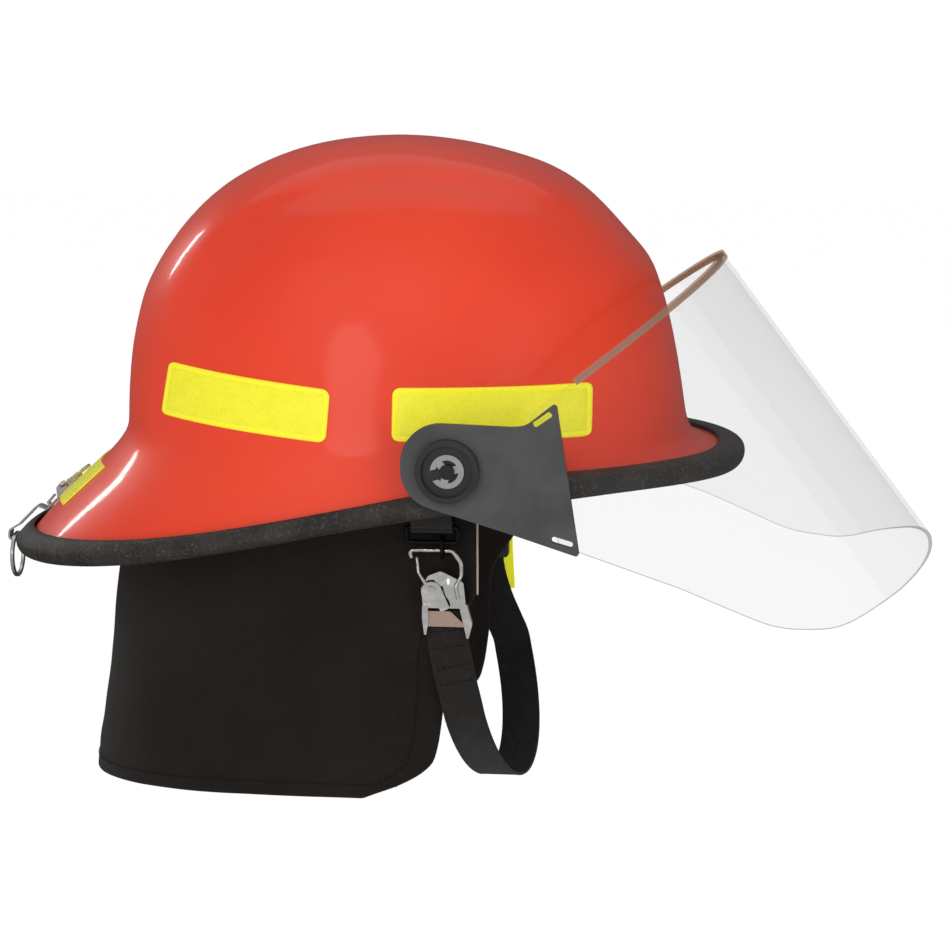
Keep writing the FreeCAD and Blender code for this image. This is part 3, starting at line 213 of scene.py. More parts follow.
def webbing_paint(name, dark, light, across=0.0016, along=0.0011, glow=0.0):
    """Flat webbing with ribs across it and a thread pattern along it; glow adds painted light, a glow of
    the webbing's own.
    """
    paint = Paint(name, dark, 0.75, Specular_IOR_Level=0.3, Sheen_Weight=0.06)
    # glow is painted light: the webbing gives off light in its paler thread colour.
    paint.glow(light, glow)
    where = paint.place("UV")
    weave, rib = woven_height(paint, where, across, along)
    fuzz = paint.noise(where, 2600.0, 3.0)
    worn = paint.noise(where, 120.0, 4.0)
    share = paint.span(weave, -0.8, 0.9)
    color = paint.mix(share, dark, light)
    rubbed = tuple(min(1.0, c * 1.6) for c in light)
    color = paint.mix(paint.span(worn, 0.5, 0.8, 0.0, 0.4), color, rubbed)
    paint.set("Base Color", color)
    paint.set("Roughness", paint.span(fuzz, 0.3, 0.7, 0.62, 0.85))
    first = paint.bump(weave, 0.0003, 0.8)
    second = paint.bump(rib, 0.0002, 0.4, first)
    paint.bump(fuzz, 0.0001, 0.5, second)
    return paint.material


def cloth_paint(name, dark, light, kind="UV", pitch=0.0009):
    """Plain woven cloth with uneven threads, lint and slow changes of shade."""
    paint = Paint(name, dark, 0.85, Specular_IOR_Level=0.25, Sheen_Weight=0.05)
    where = paint.place(kind)
    wobble = paint.noise(where, 60.0, 2.0)
    drift = paint.math("MULTIPLY", wobble, 0.0012)
    bent = paint.node("VectorMath", {0: where, 1: drift}, operation="ADD")
    weave, _ = woven_height(paint, bent.outputs[0], pitch, pitch)
    lint = paint.noise(where, 1900.0, 4.0, 0.7)
    slow = paint.noise(where, 22.0, 5.0, 0.6)
    color = paint.mix(paint.span(weave, -0.9, 0.9), dark, light)
    color = paint.mix(paint.span(slow, 0.4, 0.75, 0.0, 0.5), color, tuple(c * 1.5 for c in light))
    color = paint.mix(paint.span(lint, 0.68, 0.8, 0.0, 0.5), color, tuple(c * 2.4 for c in light))
    paint.set("Base Color", color)
    first = paint.bump(weave, 0.00022, 0.7)
    second = paint.bump(lint, 0.0002, 0.5, first)
    paint.bump(slow, 0.004, 0.3, second)
    return paint.material


def brushed_paint():
    """Soft napped cloth for the pads."""
    paint = Paint("pad_cloth", (0.03, 0.03, 0.032), 0.95, Sheen_Weight=0.6, Sheen_Roughness=0.6)
    where = paint.place()
    pile = paint.noise(where, 1500.0, 5.0, 0.75)
    slow = paint.noise(where, 60.0, 4.0)
    color = paint.mix(paint.span(pile, 0.35, 0.7), (0.014, 0.014, 0.015), (0.05, 0.05, 0.053))
    paint.set("Base Color", paint.mix(paint.span(slow, 0.4, 0.7, 0.0, 0.4), color, (0.06, 0.058, 0.056)))
    paint.bump(pile, 0.0005, 0.8)
    return paint.material


def hook_paint():
    """The tiny hooks of a touch fastener."""
    paint = Paint("fastener_hooks", (0.02, 0.02, 0.02), 0.8, Sheen_Weight=0.3)
    where = paint.place()
    hooks = paint.cells(where, 900.0)
    color = paint.mix(paint.span(hooks, 0.1, 0.6), (0.05, 0.05, 0.05), (0.01, 0.01, 0.01))
    paint.set("Base Color", color)
    paint.bump(hooks, 0.0008, 0.9)
    return paint.material


# Painted light: the yellow tapes give off a faint glow of their own, as if lit more brightly than the lamps
# light them.
TAPE_PAINTED_GLOW = 0.10


def tape_paint(name, kind):
    """Fluorescent prismatic sheeting: small sealed cells under a clear face, with a painted glow that
    lights it from within.
    """
    paint = Paint(
        name, (0.88, 0.80, 0.02), 0.35,
        Specular_IOR_Level=0.3, Coat_Weight=0.3, Coat_Roughness=0.2,
    )
    # Painted glow: the tape shines a little by itself.
    paint.glow((0.90, 0.82, 0.02), TAPE_PAINTED_GLOW)
    where = paint.place(kind)
    cell = paint.cells(where, 420.0, "DISTANCE_TO_EDGE")
    wall = paint.span(cell, 0.0, 0.16)
    cloud = paint.noise(where, 130.0, 4.0)
    color = paint.mix(paint.span(cloud, 0.35, 0.7), (0.78, 0.74, 0.02), (0.86, 0.79, 0.03))
    color = paint.mix(paint.span(wall, 0.0, 1.0, 0.4, 0.0), color, (0.93, 0.86, 0.05))
    facet = paint.cells(where, 900.0)
    color = paint.mix(paint.span(facet, 0.2, 0.7, 0.0, 0.2), color, (0.64, 0.64, 0.02))
    paint.set("Base Color", color)
    paint.set("Roughness", paint.span(cell, 0.0, 0.3, 0.45, 0.25))
    paint.bump(wall, 0.0001, 0.5)
    return paint.material


def border_paint():
    """The heat-sealed rim of a tape: the same film with no cells under it, and the same painted glow."""
    paint = Paint(
        "lime_tape_rim", (0.92, 0.83, 0.02), 0.35,
        Specular_IOR_Level=0.3, Coat_Weight=0.3, Coat_Roughness=0.2,
    )
    # Painted glow, as on the tape's face.
    paint.glow((0.92, 0.83, 0.02), TAPE_PAINTED_GLOW)
    where = paint.place("UV")
    press = paint.noise(where, 500.0, 3.0)
    color = paint.mix(paint.span(press, 0.35, 0.7), (0.88, 0.79, 0.015), (0.94, 0.85, 0.03))
    paint.set("Base Color", color)
    paint.bump(press, 0.0001, 0.4)
    return paint.material


def clear_paint(name, tint, haze, body_share, grazing_share):
    """A thin clear sheet: see-through with a gloss that grows at grazing angles."""
    paint = Paint(name, tint, 0.04, Coat_Weight=0.3, Coat_Roughness=0.02)
    tree = paint.tree
    where = paint.place()
    smear = paint.noise(where, 30.0, 5.0, 0.6)
    paint.set("Roughness", paint.span(smear, 0.4, 0.8, 0.02, 0.07))
    clear = tree.nodes.new("ShaderNodeBsdfTransparent")
    clear.inputs[0].default_value = (*haze, 1.0)
    facing = paint.node("LayerWeight", {"Blend": 0.22}).outputs["Fresnel"]
    share = paint.span(facing, 0.0, 1.0, body_share, grazing_share)
    mixer = paint.node("MixShader", {0: share, 1: clear.outputs[0], 2: paint.shader.outputs[0]})
    tree.links.new(mixer.outputs[0], tree.nodes["Material Output"].inputs[0])
    return paint.material


def metal_paint(name, color, roughness, scratch=0.5, tarnish=(0.3, 0.27, 0.24), wave=0.0):
    """Plated or drawn metal with fine scratches, smears and a little tarnish."""
    paint = Paint(name, color, roughness, metallic=1.0)
    where = paint.place()
    smear = paint.noise(where, 240.0, 5.0, 0.65)
    lines = paint.place(scale=(300.0, 300.0, 3200.0), turn=(0.5, 0.3, 0.1))
    fine = paint.noise(lines, 1.0, 3.0)
    spots = paint.span(paint.noise(where, 700.0, 5.0, 0.7), 0.62, 0.78, 0.0, 0.6)
    paint.set("Base Color", paint.mix(spots, color, tarnish))
    base = paint.span(smear, 0.3, 0.75, roughness * 0.7, roughness * 1.6)
    paint.set("Roughness", base)
    rolled = paint.bump(paint.noise(where, 110.0, 1.0), wave, 1.0)
    paint.bump(fine, 0.00001, scratch, rolled)
    return paint.material


def thread_paint(name, color):
    """Twisted sewing thread."""
    paint = Paint(name, color, 0.8, Specular_IOR_Level=0.2)
    where = paint.place()
    twist = paint.noise(where, 2500.0, 3.0)
    paint.set("Base Color", paint.mix(paint.span(twist, 0.35, 0.7), color, tuple(c * 1.8 for c in color)))
    paint.bump(twist, 0.0001, 0.8)
    return paint.material


MATERIALS = {
    "shell_red": shell_paint(),
    "trim_rubber": rubber_paint(),
    "liner_foam": foam_paint(),
    "band_plastic": plastic_paint("band_plastic", (0.022, 0.022, 0.024), 0.42),
    "knob_plastic": plastic_paint("knob_plastic", (0.028, 0.028, 0.03), 0.38),
    "pad_cloth": brushed_paint(),
    "webbing": webbing_paint("webbing", (0.006, 0.0053, 0.0047), (0.019, 0.017, 0.0155)),
    "flap_cloth": cloth_paint("flap_cloth", (0.0045, 0.0032, 0.0025), (0.012, 0.009, 0.007)),
    "fastener_hooks": hook_paint(),
    "lime_tape": tape_paint("lime_tape", "UV"),
    "clear_sheet": clear_paint("clear_sheet", (0.45, 0.46, 0.47), (0.966, 0.967, 0.968), 0.012, 0.10),
    "channel_edge": clear_paint("channel_edge", (0.50, 0.37, 0.29), (0.86, 0.76, 0.68), 0.30, 0.35),
    "bracket_plastic": plastic_paint("bracket_plastic", (0.043, 0.042, 0.043), 0.45, 1100.0, 0.008),
    "steel": metal_paint("steel", (0.62, 0.61, 0.59), 0.24),
    "chrome_plate": metal_paint("chrome_plate", (0.80, 0.79, 0.77), 0.10, 0.25, wave=0.003),
    "black_wire": metal_paint("black_wire", (0.022, 0.021, 0.02), 0.4, 0.4, (0.01, 0.01, 0.01)),
    # The yellow pull tab hangs in shade; its glow of 0.35 is painted light that brightens it.
    "yellow_webbing": webbing_paint("yellow_webbing", (0.72, 0.66, 0.02), (0.90, 0.88, 0.03), glow=0.35),
}
TAPE_RIM = border_paint()
REAR_TAPE = tape_paint("lime_tape_rear", "Object")
EDGE_TINT = clear_paint("clear_sheet_edge", (0.30, 0.25, 0.21), (0.72, 0.66, 0.61), 0.45, 0.35)
BRASS = metal_paint("brass_plate", (0.72, 0.52, 0.42), 0.34, 0.4, (0.45, 0.3, 0.22))
BLACK_OXIDE = metal_paint("black_oxide", (0.06, 0.06, 0.062), 0.42, 0.5, (0.16, 0.15, 0.14))
DARK_THREAD = thread_paint("dark_thread", (0.007, 0.006, 0.005))
# Pale cloth for painted light: the light that shows through the gap at the flap's front edges.
PAINTED_SLIT_CLOTH = cloth_paint("painted_light_slit", (0.30, 0.23, 0.18), (0.48, 0.38, 0.31))
CUP_PLASTIC = plastic_paint("cup_plastic", (0.012, 0.012, 0.0125), 0.32, 1300.0, 0.003)


# ------------------------------------------------------------ mesh helpers

def linked(name, data):
    made = bpy.data.objects.new(name, data)
    SCENE.collection.objects.link(made)
    return made


def mesh_piece(name, points, faces, coords=None, smooth=True):
    """A mesh object; coords gives one UV pair, in metres, for each point."""
    data = bpy.data.meshes.new(name)
    data.from_pydata([tuple(p) for p in points], [], faces)
    if coords is not None:
        layer = data.uv_layers.new(name="Metres")
        for loop in data.loops:
            layer.data[loop.index].uv = coords[loop.vertex_index]
    if smooth:
        data.shade_smooth()
    data.update()
    return linked(name, data)


def give(piece, body, slot, material=None):
    """Dress a new piece, name its material slot and let it ride on a body."""
    piece.data.materials.clear()
    piece.data.materials.append(material or MATERIALS[slot])
    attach(piece, body)
    return piece


def recalc(piece):
    """Point every face of a closed mesh outward."""
    work = bmesh.new()
    work.from_mesh(piece.data)
    bmesh.ops.recalc_face_normals(work, faces=work.faces)
    work.to_mesh(piece.data)
    work.free()
    return piece


def add_modifier(piece, kind, **settings):
    made = piece.modifiers.new(kind.lower(), kind)
    for word, value in settings.items():
        setattr(made, word, value)
    return made


SHARP_ANGLE = 35.0


def soften(name, width, angle=SHARP_ANGLE, segments=2):
    """Round the sharp edges of a carried-over CAD node."""
    piece = NODES[name]
    piece.data.shade_smooth()
    piece.data.set_sharp_from_angle(angle=math.radians(angle))
    add_modifier(
        piece, "BEVEL", width=width, segments=segments, limit_method="ANGLE",
        angle_limit=math.radians(angle), harden_normals=False,
    )


def curve_through(points, steps):
    """Points on a smooth line through the given points."""
    ends = [2.0 * points[0] - points[1]] + points + [2.0 * points[-1] - points[-2]]
    line = []
    for i in range(1, len(ends) - 2):
        p0, p1, p2, p3 = ends[i - 1:i + 3]
        for step in range(steps):
            t = step / steps
            line.append(0.5 * (
                2.0 * p1 + (p2 - p0) * t
                + (2.0 * p0 - 5.0 * p1 + 4.0 * p2 - p3) * t * t
                + (3.0 * p1 - 3.0 * p2 + p3 - p0) * t ** 3
            ))
    line.append(points[-1])
    return line


# The upper face of webbing as shares of its half width and half thickness.
WEBBING_TOP = (
    (-1.0, 0.15), (-0.985, 0.75), (-0.94, 1.08), (-0.86, 0.96), (-0.5, 0.94), (0.0, 0.94),
    (0.5, 0.94), (0.86, 0.96), (0.94, 1.08), (0.985, 0.75), (1.0, 0.15),
)


def webbing_section(width, wall):
    """Rounded outline of flat webbing with slightly thicker selvedges."""
    half, deep = 0.5 * width, 0.5 * wall
    top = [(x * half, lift * deep) for x, lift in WEBBING_TOP]
    return top + [(x, -y) for x, y in reversed(top)]


def webbing(name, frames, width, wall):
    """Webbing swept through frames of (point, width direction, thickness direction)."""
    section = webbing_section(width, wall)
    count = len(section)
    points, coords, faces = [], [], []
    along = 0.0
    for i, (point, wide, deep) in enumerate(frames):
        if i:
            along += (point - frames[i - 1][0]).length
        for x, y in section:
            points.append(point + wide * x + deep * y)
            coords.append((x, along))
    for i in range(len(frames) - 1):
        for k in range(count):
            ahead = (k + 1) % count
            a, b = i * count + k, i * count + ahead
            faces.append((a, b, b + count, a + count))
    faces.append(tuple(range(count - 1, -1, -1)))
    last = (len(frames) - 1) * count
    faces.append(tuple(range(last, last + count)))
    return recalc(mesh_piece(name, points, faces, coords))


def strap_frames(line, side_hint):
    """Frames along a line; side_hint is the direction the width should keep to."""
    frames = []
    for i, point in enumerate(line):
        run = line[min(i + 1, len(line) - 1)] - line[max(i - 1, 0)]
        run.normalize()
        wide = side_hint - run * run.dot(side_hint)
        wide.normalize()
        frames.append((point, wide, run.cross(wide)))
    return frames


def stitches(name, marks, length, radius):
    """Short rounded stitches; marks are (centre, direction, outward) triples."""
    points, faces = [], []
    profile = [(-0.5, 0.25), (-0.36, 0.85), (0.0, 1.0), (0.36, 0.85), (0.5, 0.25)]
    sides = 6
    for centre, direction, outward in marks:
        across = direction.cross(outward).normalized()
        first = len(points)
        for step, girth in profile:
            sink = outward * (radius * (0.55 - 2.4 * step * step))
            for side in range(sides):
                turn = 2.0 * math.pi * side / sides
                ring = across * math.cos(turn) + outward * (0.7 * math.sin(turn))
                points.append(centre + direction * (step * length) + ring * (radius * girth) + sink)
        for i in range(len(profile) - 1):
            for side in range(sides):
                a = first + i * sides + side
                b = first + i * sides + (side + 1) % sides
                faces.append((a, b, b + sides, a + sides))
        faces.append(tuple(first + side for side in reversed(range(sides))))
        end = first + (len(profile) - 1) * sides
        faces.append(tuple(end + side for side in range(sides)))
    return recalc(mesh_piece(name, points, faces))


def marks_along(line, outwards, pitch):
    """Evenly spaced stitch marks on a line with one outward direction per point."""
    marks = []
    reach = 0.5 * pitch
    walked = 0.0
    for i in range(len(line) - 1):
        run = line[i + 1] - line[i]
        size = run.length
        if size < 1e-9:
            continue
        while walked + size >= reach:
            share = (reach - walked) / size
            outward = outwards[i].lerp(outwards[i + 1], share).normalized()
            marks.append((line[i].lerp(line[i + 1], share), run.normalized(), outward))
            reach += pitch
        walked += size
    return marks


def smooth(value):
    value = max(0.0, min(1.0, value))
    return value * value * (3.0 - 2.0 * value)


# ------------------------------------------------------------ carried-over nodes

def dress_nodes():
    """Give every CAD node its material from the record's slots."""
    for row in frame["record"]["subparts"]:
        piece = NODES[row["node"]]
        piece.data.materials.clear()
        piece.data.materials.append(MATERIALS[row["material_slot"]])
        piece.data.shade_smooth()
        piece.data.set_sharp_from_angle(angle=math.radians(SHARP_ANGLE))


def tint_faces(name, material, test):
    """Give a second material to the faces of a node that pass a test."""
    data = NODES[name].data
    data.materials.append(material)
    for face in data.polygons:
        if test(face.center, face.normal):
            face.material_index = len(data.materials) - 1


# The way the shield's sheet runs, down and forward, from its top edge.
SHIELD_RUN = Vector((0.0, -0.6015, -0.7989))
CROSS_PLATE_TOP = -49.9 * MM
CROSS_PLATE_FRONT, CROSS_PLATE_REAR = -41.6 * MM, -24.3 * MM
CROSS_PLATE_OUTER = -104.5 * MM


def on_shield_edge(_, normal):
    """The cut edges of the clear sheet look darker than its faces."""
    return abs(normal.dot(SHIELD_RUN)) > 0.15


def on_cross_plate(centre, _):
    """The hook's lower cross plate has the colour of brass."""
    inside = CROSS_PLATE_FRONT < centre.y < CROSS_PLATE_REAR
    return inside and centre.z < CROSS_PLATE_TOP and centre.x > CROSS_PLATE_OUTER


dress_nodes()
for word in ("right", "left"):
    soften("visor_bracket_" + word, 0.0009, 40.0, 3)
    soften("tension_cup_" + word, 0.0008, 40.0, 3)
    soften("pivot_boss_" + word, 0.0004)
    soften("strap_anchor_" + word, 0.0004)
    soften("pivot_pin_" + word, 0.0003)
    NODES["tension_cup_" + word].data.materials[0] = CUP_PLASTIC
    NODES["pivot_pin_" + word].data.materials[0] = BLACK_OXIDE
for name, width in (
    ("ratchet_housing", 0.0008), ("suspension_keys", 0.0006), ("suspension_hangers", 0.0004),
    ("ratchet_knob", 0.0004), ("e_clips", 0.00018), ("pivot_nuts", 0.0005), ("crown_rivet", 0.0004),
    ("anchor_rivets", 0.0003), ("hanger_clip", 0.0002), ("quick_release_hook", 0.0007),
    ("quick_release_gate", 0.0005), ("gate_rivet", 0.0002), ("strap_slide", 0.0004),
    ("reflective_tape_rear_brim", 0.0003), ("headband", 0.0004),
):
    soften(name, width)
NODES["reflective_tape_rear_brim"].data.materials[0] = REAR_TAPE
tint_faces("faceshield", EDGE_TINT, on_shield_edge)
tint_faces("quick_release_hook", BRASS, on_cross_plate)


# ------------------------------------------------------------ reflective tapes

SHELL_TREE = BVHTree.FromPolygons(
    [v.co.copy() for v in NODES["outer_shell"].data.vertices],
    [tuple(p.vertices) for p in NODES["outer_shell"].data.polygons],
)


def on_shell(side, y, z):
    """The shell's outer surface and normal, looking in from one side."""
    start = Vector((side * 0.2, y, z))
    hit, normal, _, _ = SHELL_TREE.ray_cast(start, Vector((-side, 0.0, 0.0)))
    if normal.x * side < 0.0:
        normal = -normal
    return hit, normal


TAPE_LONG, TAPE_HIGH = 74, 24
TAPE_CORNER = 4.0 * MM
TAPE_RIM_WIDTH = 2.6 * MM


def corner_inset(distance):
    """How far a rounded corner pulls in at a distance from the tape's edge."""
    if distance >= TAPE_CORNER:
        return 0.0
    gap = TAPE_CORNER - distance
    return TAPE_CORNER - math.sqrt(max(0.0, TAPE_CORNER ** 2 - gap ** 2))


def tape_height(edge):
    """Height of the tape's face: a raised sealed rim, a groove and a flat field."""
    rim = smooth(edge / (0.5 * MM))
    groove = math.exp(-((edge - TAPE_RIM_WIDTH) / (0.35 * MM)) ** 2)
    field = smooth((edge - TAPE_RIM_WIDTH) / (0.6 * MM))
    return 0.12 * MM + (0.55 * rim + 0.12 * field - 0.28 * groove) * MM


def tape_stops(count, size):
    """Evenly spread stops with extra ones over both sealed rims."""
    rim = [0.0, 0.25, 0.6, 1.2, 1.9, 2.3, 2.6, 2.95, 3.4]
    inner = [3.4 + (size / MM - 6.8) * (k + 1) / (count + 1) for k in range(count)]
    outer = [size / MM - r for r in reversed(rim)]
    return [s * MM for s in rim + inner + outer]


def side_tape(name, corners, side):
    """A tape that follows the shell; corners are (y, z) in millimetres."""
    a, b, c, d = [Vector((y, z)) * MM for y, z in corners]
    long = 0.5 * ((b - a).length + (c - d).length)
    high = 0.5 * ((d - a).length + (c - b).length)
    across, down = tape_stops(TAPE_LONG, long), tape_stops(TAPE_HIGH, high)
    points, under, coords = [], [], []
    for v in down:
        edge_v = min(v, high - v)
        inset = corner_inset(edge_v)
        for u in across:
            fitted = inset + u * (long - 2.0 * inset) / long
            edge_u = min(fitted, long - fitted) - 0.4 * inset
            p, q = fitted / long, v / high
            flat = a.lerp(b, p).lerp(d.lerp(c, p), q)
            hit, normal = on_shell(side, flat.x, flat.y)
            points.append(hit + normal * tape_height(max(0.0, min(edge_u, edge_v))))
            under.append(hit + normal * (0.06 * MM))
            coords.append((fitted, v))
    wide = len(across)
    count = len(points)
    faces, rim = [], []
    for i in range(len(down) - 1):
        for k in range(wide - 1):
            p = i * wide + k
            faces.append((p, p + 1, p + wide + 1, p + wide))
            middle_u, middle_v = across[k] + 0.2 * MM, down[i] + 0.2 * MM
            edge = min(middle_u, long - middle_u, middle_v, high - middle_v)
            rim.append(edge < TAPE_RIM_WIDTH)
    faces += [tuple(count + n for n in reversed(face)) for face in faces]
    border = list(range(wide)) + [wide * i + wide - 1 for i in range(1, len(down))]
    border += [count - 1 - k for k in range(1, wide)]
    border += [wide * i for i in range(len(down) - 2, 0, -1)]
    for i, p in enumerate(border):
        ahead = border[(i + 1) % len(border)]
        faces.append((ahead, p, count + p, count + ahead))
    piece = recalc(mesh_piece(name, points + under, faces, coords + coords))
    give(piece, "helmet", "lime_tape")
    piece.data.materials.append(TAPE_RIM)
    for index, sealed in enumerate(rim):
        if sealed:
            piece.data.polygons[index].material_index = 1
    return piece


FRONT_TAPE = [(-8.5, 59.4), (-101.4, 60.0), (-101.4, 34.5), (-8.5, 34.1)]
BACK_TAPE = [(106.5, 66.6), (21.5, 57.8), (23.3, 32.7), (111.0, 40.6)]
for word, side in (("right", -1), ("left", 1)):
    for end, corners in (("front", FRONT_TAPE), ("back", BACK_TAPE)):
        node = "reflective_tape_%s_%s" % (end, word)
        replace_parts(side_tape("prism_tape_%s_%s" % (end, word), corners, side), node)


# ------------------------------------------------------------ neck protector

# Millimetres, apart from the wall. Straight sides turn at FLAP_BEND into a rear
# that is a superellipse of power FLAP_SQUARE. A level is (height, half width,
# rear) and an edge is (height, front).
FLAP_BEND = 40.0
FLAP_SQUARE = 2.6
FLAP_WALL = 2.2 * MM
FLAP_LEVELS = [
    (18.0, 98.8, 138.5), (-14.0, 97.6, 142.0), (-51.0, 97.0, 148.0),
    (-91.0, 95.5, 152.8), (-131.0, 94.5, 160.5), (-148.0, 94.0, 162.0),
]
FLAP_EDGE = [
    (20.0, -46.4), (-43.0, -46.4), (-47.0, -44.5), (-66.0, -31.3), (-97.0, -30.8), (-118.0, -28.0),
    (-129.0, -25.0), (-136.0, -16.0), (-141.0, -6.0), (-145.0, 5.0), (-149.0, 14.0),
]
FLAP_ROWS = [
    15.0, 8.0, 0.0, -8.0, -16.0, -24.0, -32.0, -39.0, -43.0, -47.0,
    -52.0, -58.0, -64.0, -71.0, -78.0, -86.0, -94.0, -102.0, -110.0, -117.0,
    -123.0, -128.0, -132.0, -135.0, -138.0, -140.2, -142.0, -144.0, -145.8, -147.2,
]
FLAP_COLUMNS = 150
HEM_TOP, HEM_SEAM = -138.2, -140.2
SEAM_PITCH = 3.4 * MM
SEAM_LIFT = 0.5 * FLAP_WALL + 0.1 * MM
FOLD_TOP, FOLD_GROWTH = -6.0, 140.0
CALM_FRONT, CALM_GROWTH = -46.0, 22.0
STRAP_REAR, STRAP_GROWTH = 8.0, 20.0


def between(table, key, column):
    """Straight interpolation of one column of a table sorted by falling height."""
    for upper, lower in zip(table, table[1:]):
        if key >= lower[0]:
            share = (upper[0] - key) / (upper[0] - lower[0])
            share = max(0.0, min(1.0, share))
            return upper[column] + (lower[column] - upper[column]) * share
    return table[-1][column]


def flap_outline(z):
    """One side of the flap at a height, from its front edge to the rear centre."""
    half, rear = between(FLAP_LEVELS, z, 1), between(FLAP_LEVELS, z, 2)
    front = between(FLAP_EDGE, z, 1)
    line = []
    start = min(front, FLAP_BEND - 1.0)
    for step in range(12):
        line.append(Vector((half, start + (FLAP_BEND - start) * step / 12.0, z)))
    for step in range(31):
        turn = 0.5 * math.pi * step / 30.0
        across, along = math.cos(turn), math.sin(turn)
        reach = (across ** FLAP_SQUARE + along ** FLAP_SQUARE) ** (-1.0 / FLAP_SQUARE)
        line.append(Vector((half * across * reach, FLAP_BEND + (rear - FLAP_BEND) * along * reach, z)))
    return line


def even_line(line, count):
    """The same line with evenly spaced points."""
    lengths = [0.0]
    for a, b in zip(line, line[1:]):
        lengths.append(lengths[-1] + (b - a).length)
    made, at = [], 0
    for step in range(count):
        aim = lengths[-1] * step / (count - 1)
        while at < len(line) - 2 and lengths[at + 1] < aim:
            at += 1
        share = (aim - lengths[at]) / max(1e-9, lengths[at + 1] - lengths[at])
        made.append(line[at].lerp(line[at + 1], min(1.0, share)))
    return made, lengths[-1]


def fold_depth(point, fall):
    """Gentle hanging folds and wrinkles that grow towards the lower edge."""
    rear = smooth((point.y - 20.0) / 90.0)
    swing = math.sin(0.075 * point.x + 0.9 + 0.006 * point.z) + 0.6 * math.sin(0.052 * point.y + 1.7)
    slow = noise.noise(Vector((point.x, point.y, 0.35 * point.z)) * 0.022)
    crease = noise.noise(Vector((point.x + 40.0, point.y, 1.4 * point.z)) * 0.05)
    return fall * (1.5 * rear * swing + 2.6 * slow) + 0.55 * crease * smooth(3.0 * fall)


def flap_point(point, normal):
    """Fold the cloth at a point; it lies calmer by its front edge and the strap."""
    fall = smooth((FOLD_TOP - point.z) / FOLD_GROWTH)
    calm = smooth((point.y - CALM_FRONT) / CALM_GROWTH)
    depth = fold_depth(point, fall) * (0.25 + 0.75 * calm) - 0.2
    near_strap = smooth((STRAP_REAR - point.y) / STRAP_GROWTH)
    depth = min(depth, 0.9 - 1.1 * near_strap)
    return point + normal * depth


def flap_rows():
    """Rows of (point, outward) from the top hem down, right front to left front."""
    rows = []
    for z in FLAP_ROWS:
        side, length = even_line(flap_outline(z), FLAP_COLUMNS // 2)
        right = [Vector((-p.x, p.y, p.z)) for p in side]
        line = right + side[-2::-1]
        row = []
        for i, point in enumerate(line):
            run = line[min(i + 1, len(line) - 1)] - line[max(i - 1, 0)]
            outward = Vector((-run.y, run.x, 0.0)).normalized()
            row.append((flap_point(point, outward), outward))
        rows.append((row, 2.0 * length))
    return rows


def build_flap():
    """The hung cloth, with its rows, its area and its drop."""
    rows = flap_rows()
    wide = len(rows[0][0])
    points, coords, faces = [], [], []
    down = 0.0
    area = 0.0
    for i, (row, length) in enumerate(rows):
        if i:
            drop = (row[wide // 2][0] - rows[i - 1][0][wide // 2][0]).length
            area += drop * 0.5 * (length + rows[i - 1][1]) * MM * MM
            down += drop
        for k, (point, _) in enumerate(row):
            points.append(point * MM)
            along = (k / (wide - 1) - 0.5) * length
            coords.append((along * MM, down * MM))
    for i in range(len(rows) - 1):
        for k in range(wide - 1):
            a = i * wide + k
            faces.append((a, a + 1, a + wide + 1, a + wide))
    flap = mesh_piece("neck_protector_cloth", points, faces, coords)
    give(flap, "helmet", "flap_cloth")
    hem = flap.vertex_groups.new(name="hem")
    for i in range(len(rows)):
        for k in range(wide):
            low = smooth((HEM_TOP - FLAP_ROWS[i]) / 1.6)
            ends = 1.0 if min(k, wide - 1 - k) < 2 else 0.0
            hem.add([i * wide + k], max(low, ends, 0.0), "REPLACE")
    add_modifier(
        flap, "SOLIDIFY", thickness=FLAP_WALL, offset=0.0, vertex_group="hem",
        thickness_vertex_group=0.72, use_even_offset=True,
    )
    add_modifier(flap, "SUBSURF", levels=1, render_levels=1)
    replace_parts(flap, "neck_protector")
    return flap, rows, area, down * MM


def flap_seams(rows):
    """Stitching along the bottom hem and up both front edges."""
    marks = []
    hem_row = FLAP_ROWS.index(HEM_SEAM)
    row = rows[hem_row][0]
    line = [p * MM + n * SEAM_LIFT for p, n in row]
    marks += marks_along(line, [n for _, n in row], SEAM_PITCH)
    for column in (4, len(row) - 5):
        edge = [r[0][column] for r in rows[1:hem_row + 1]]
        line = [p * MM + n * SEAM_LIFT for p, n in edge]
        marks += marks_along(line, [n for _, n in edge], SEAM_PITCH)
    seam = stitches("neck_protector_stitching", marks, 2.5 * MM, 0.28 * MM)
    return give(seam, "helmet", "flap_cloth", DARK_THREAD)


def flap_light_slits(rows):
    """A pale strip down the straight front edges of the cloth: painted light, for the light that shows
    through the gap at each front edge.
    """
    pieces = []
    for word, column in (("right", 0), ("left", -1)):
        line = [r[0][column][0] * MM + Vector((0.0, -0.7 * MM, 0.0)) for r in rows[2:9]]
        frames = [(p, Vector((1.0, 0.0, 0.0)), Vector((0.0, 1.0, 0.0))) for p in line]
        edge = webbing("neck_protector_light_slit_" + word, frames, 1.3 * MM, 0.8 * MM)
        pieces.append(give(edge, "helmet", "flap_cloth", PAINTED_SLIT_CLOTH))
    return pieces


flap, flap_table, flap_area, flap_drop = build_flap()
# The pale strips on the flap's front edges are painted light, not a real edge of the cloth.
flap_extras = [flap_seams(flap_table)] + flap_light_slits(flap_table)


# ------------------------------------------------------------ straps

BUCKLE_X = 104.0
STRAP_WIDTH, STRAP_WALL = 20.0 * MM, 1.5 * MM
# Where the strap's loop under the chin starts, and how far it bows.
LOOP_Y, LOOP_Z = -39.5, -95.0
LOOP_FORWARD, LOOP_DROP = 15.0, 55.0
TAB_Y, RING_BAR_Z = -26.0, -9.0
ALONG_Y = Vector((0.0, 1.0, 0.0))


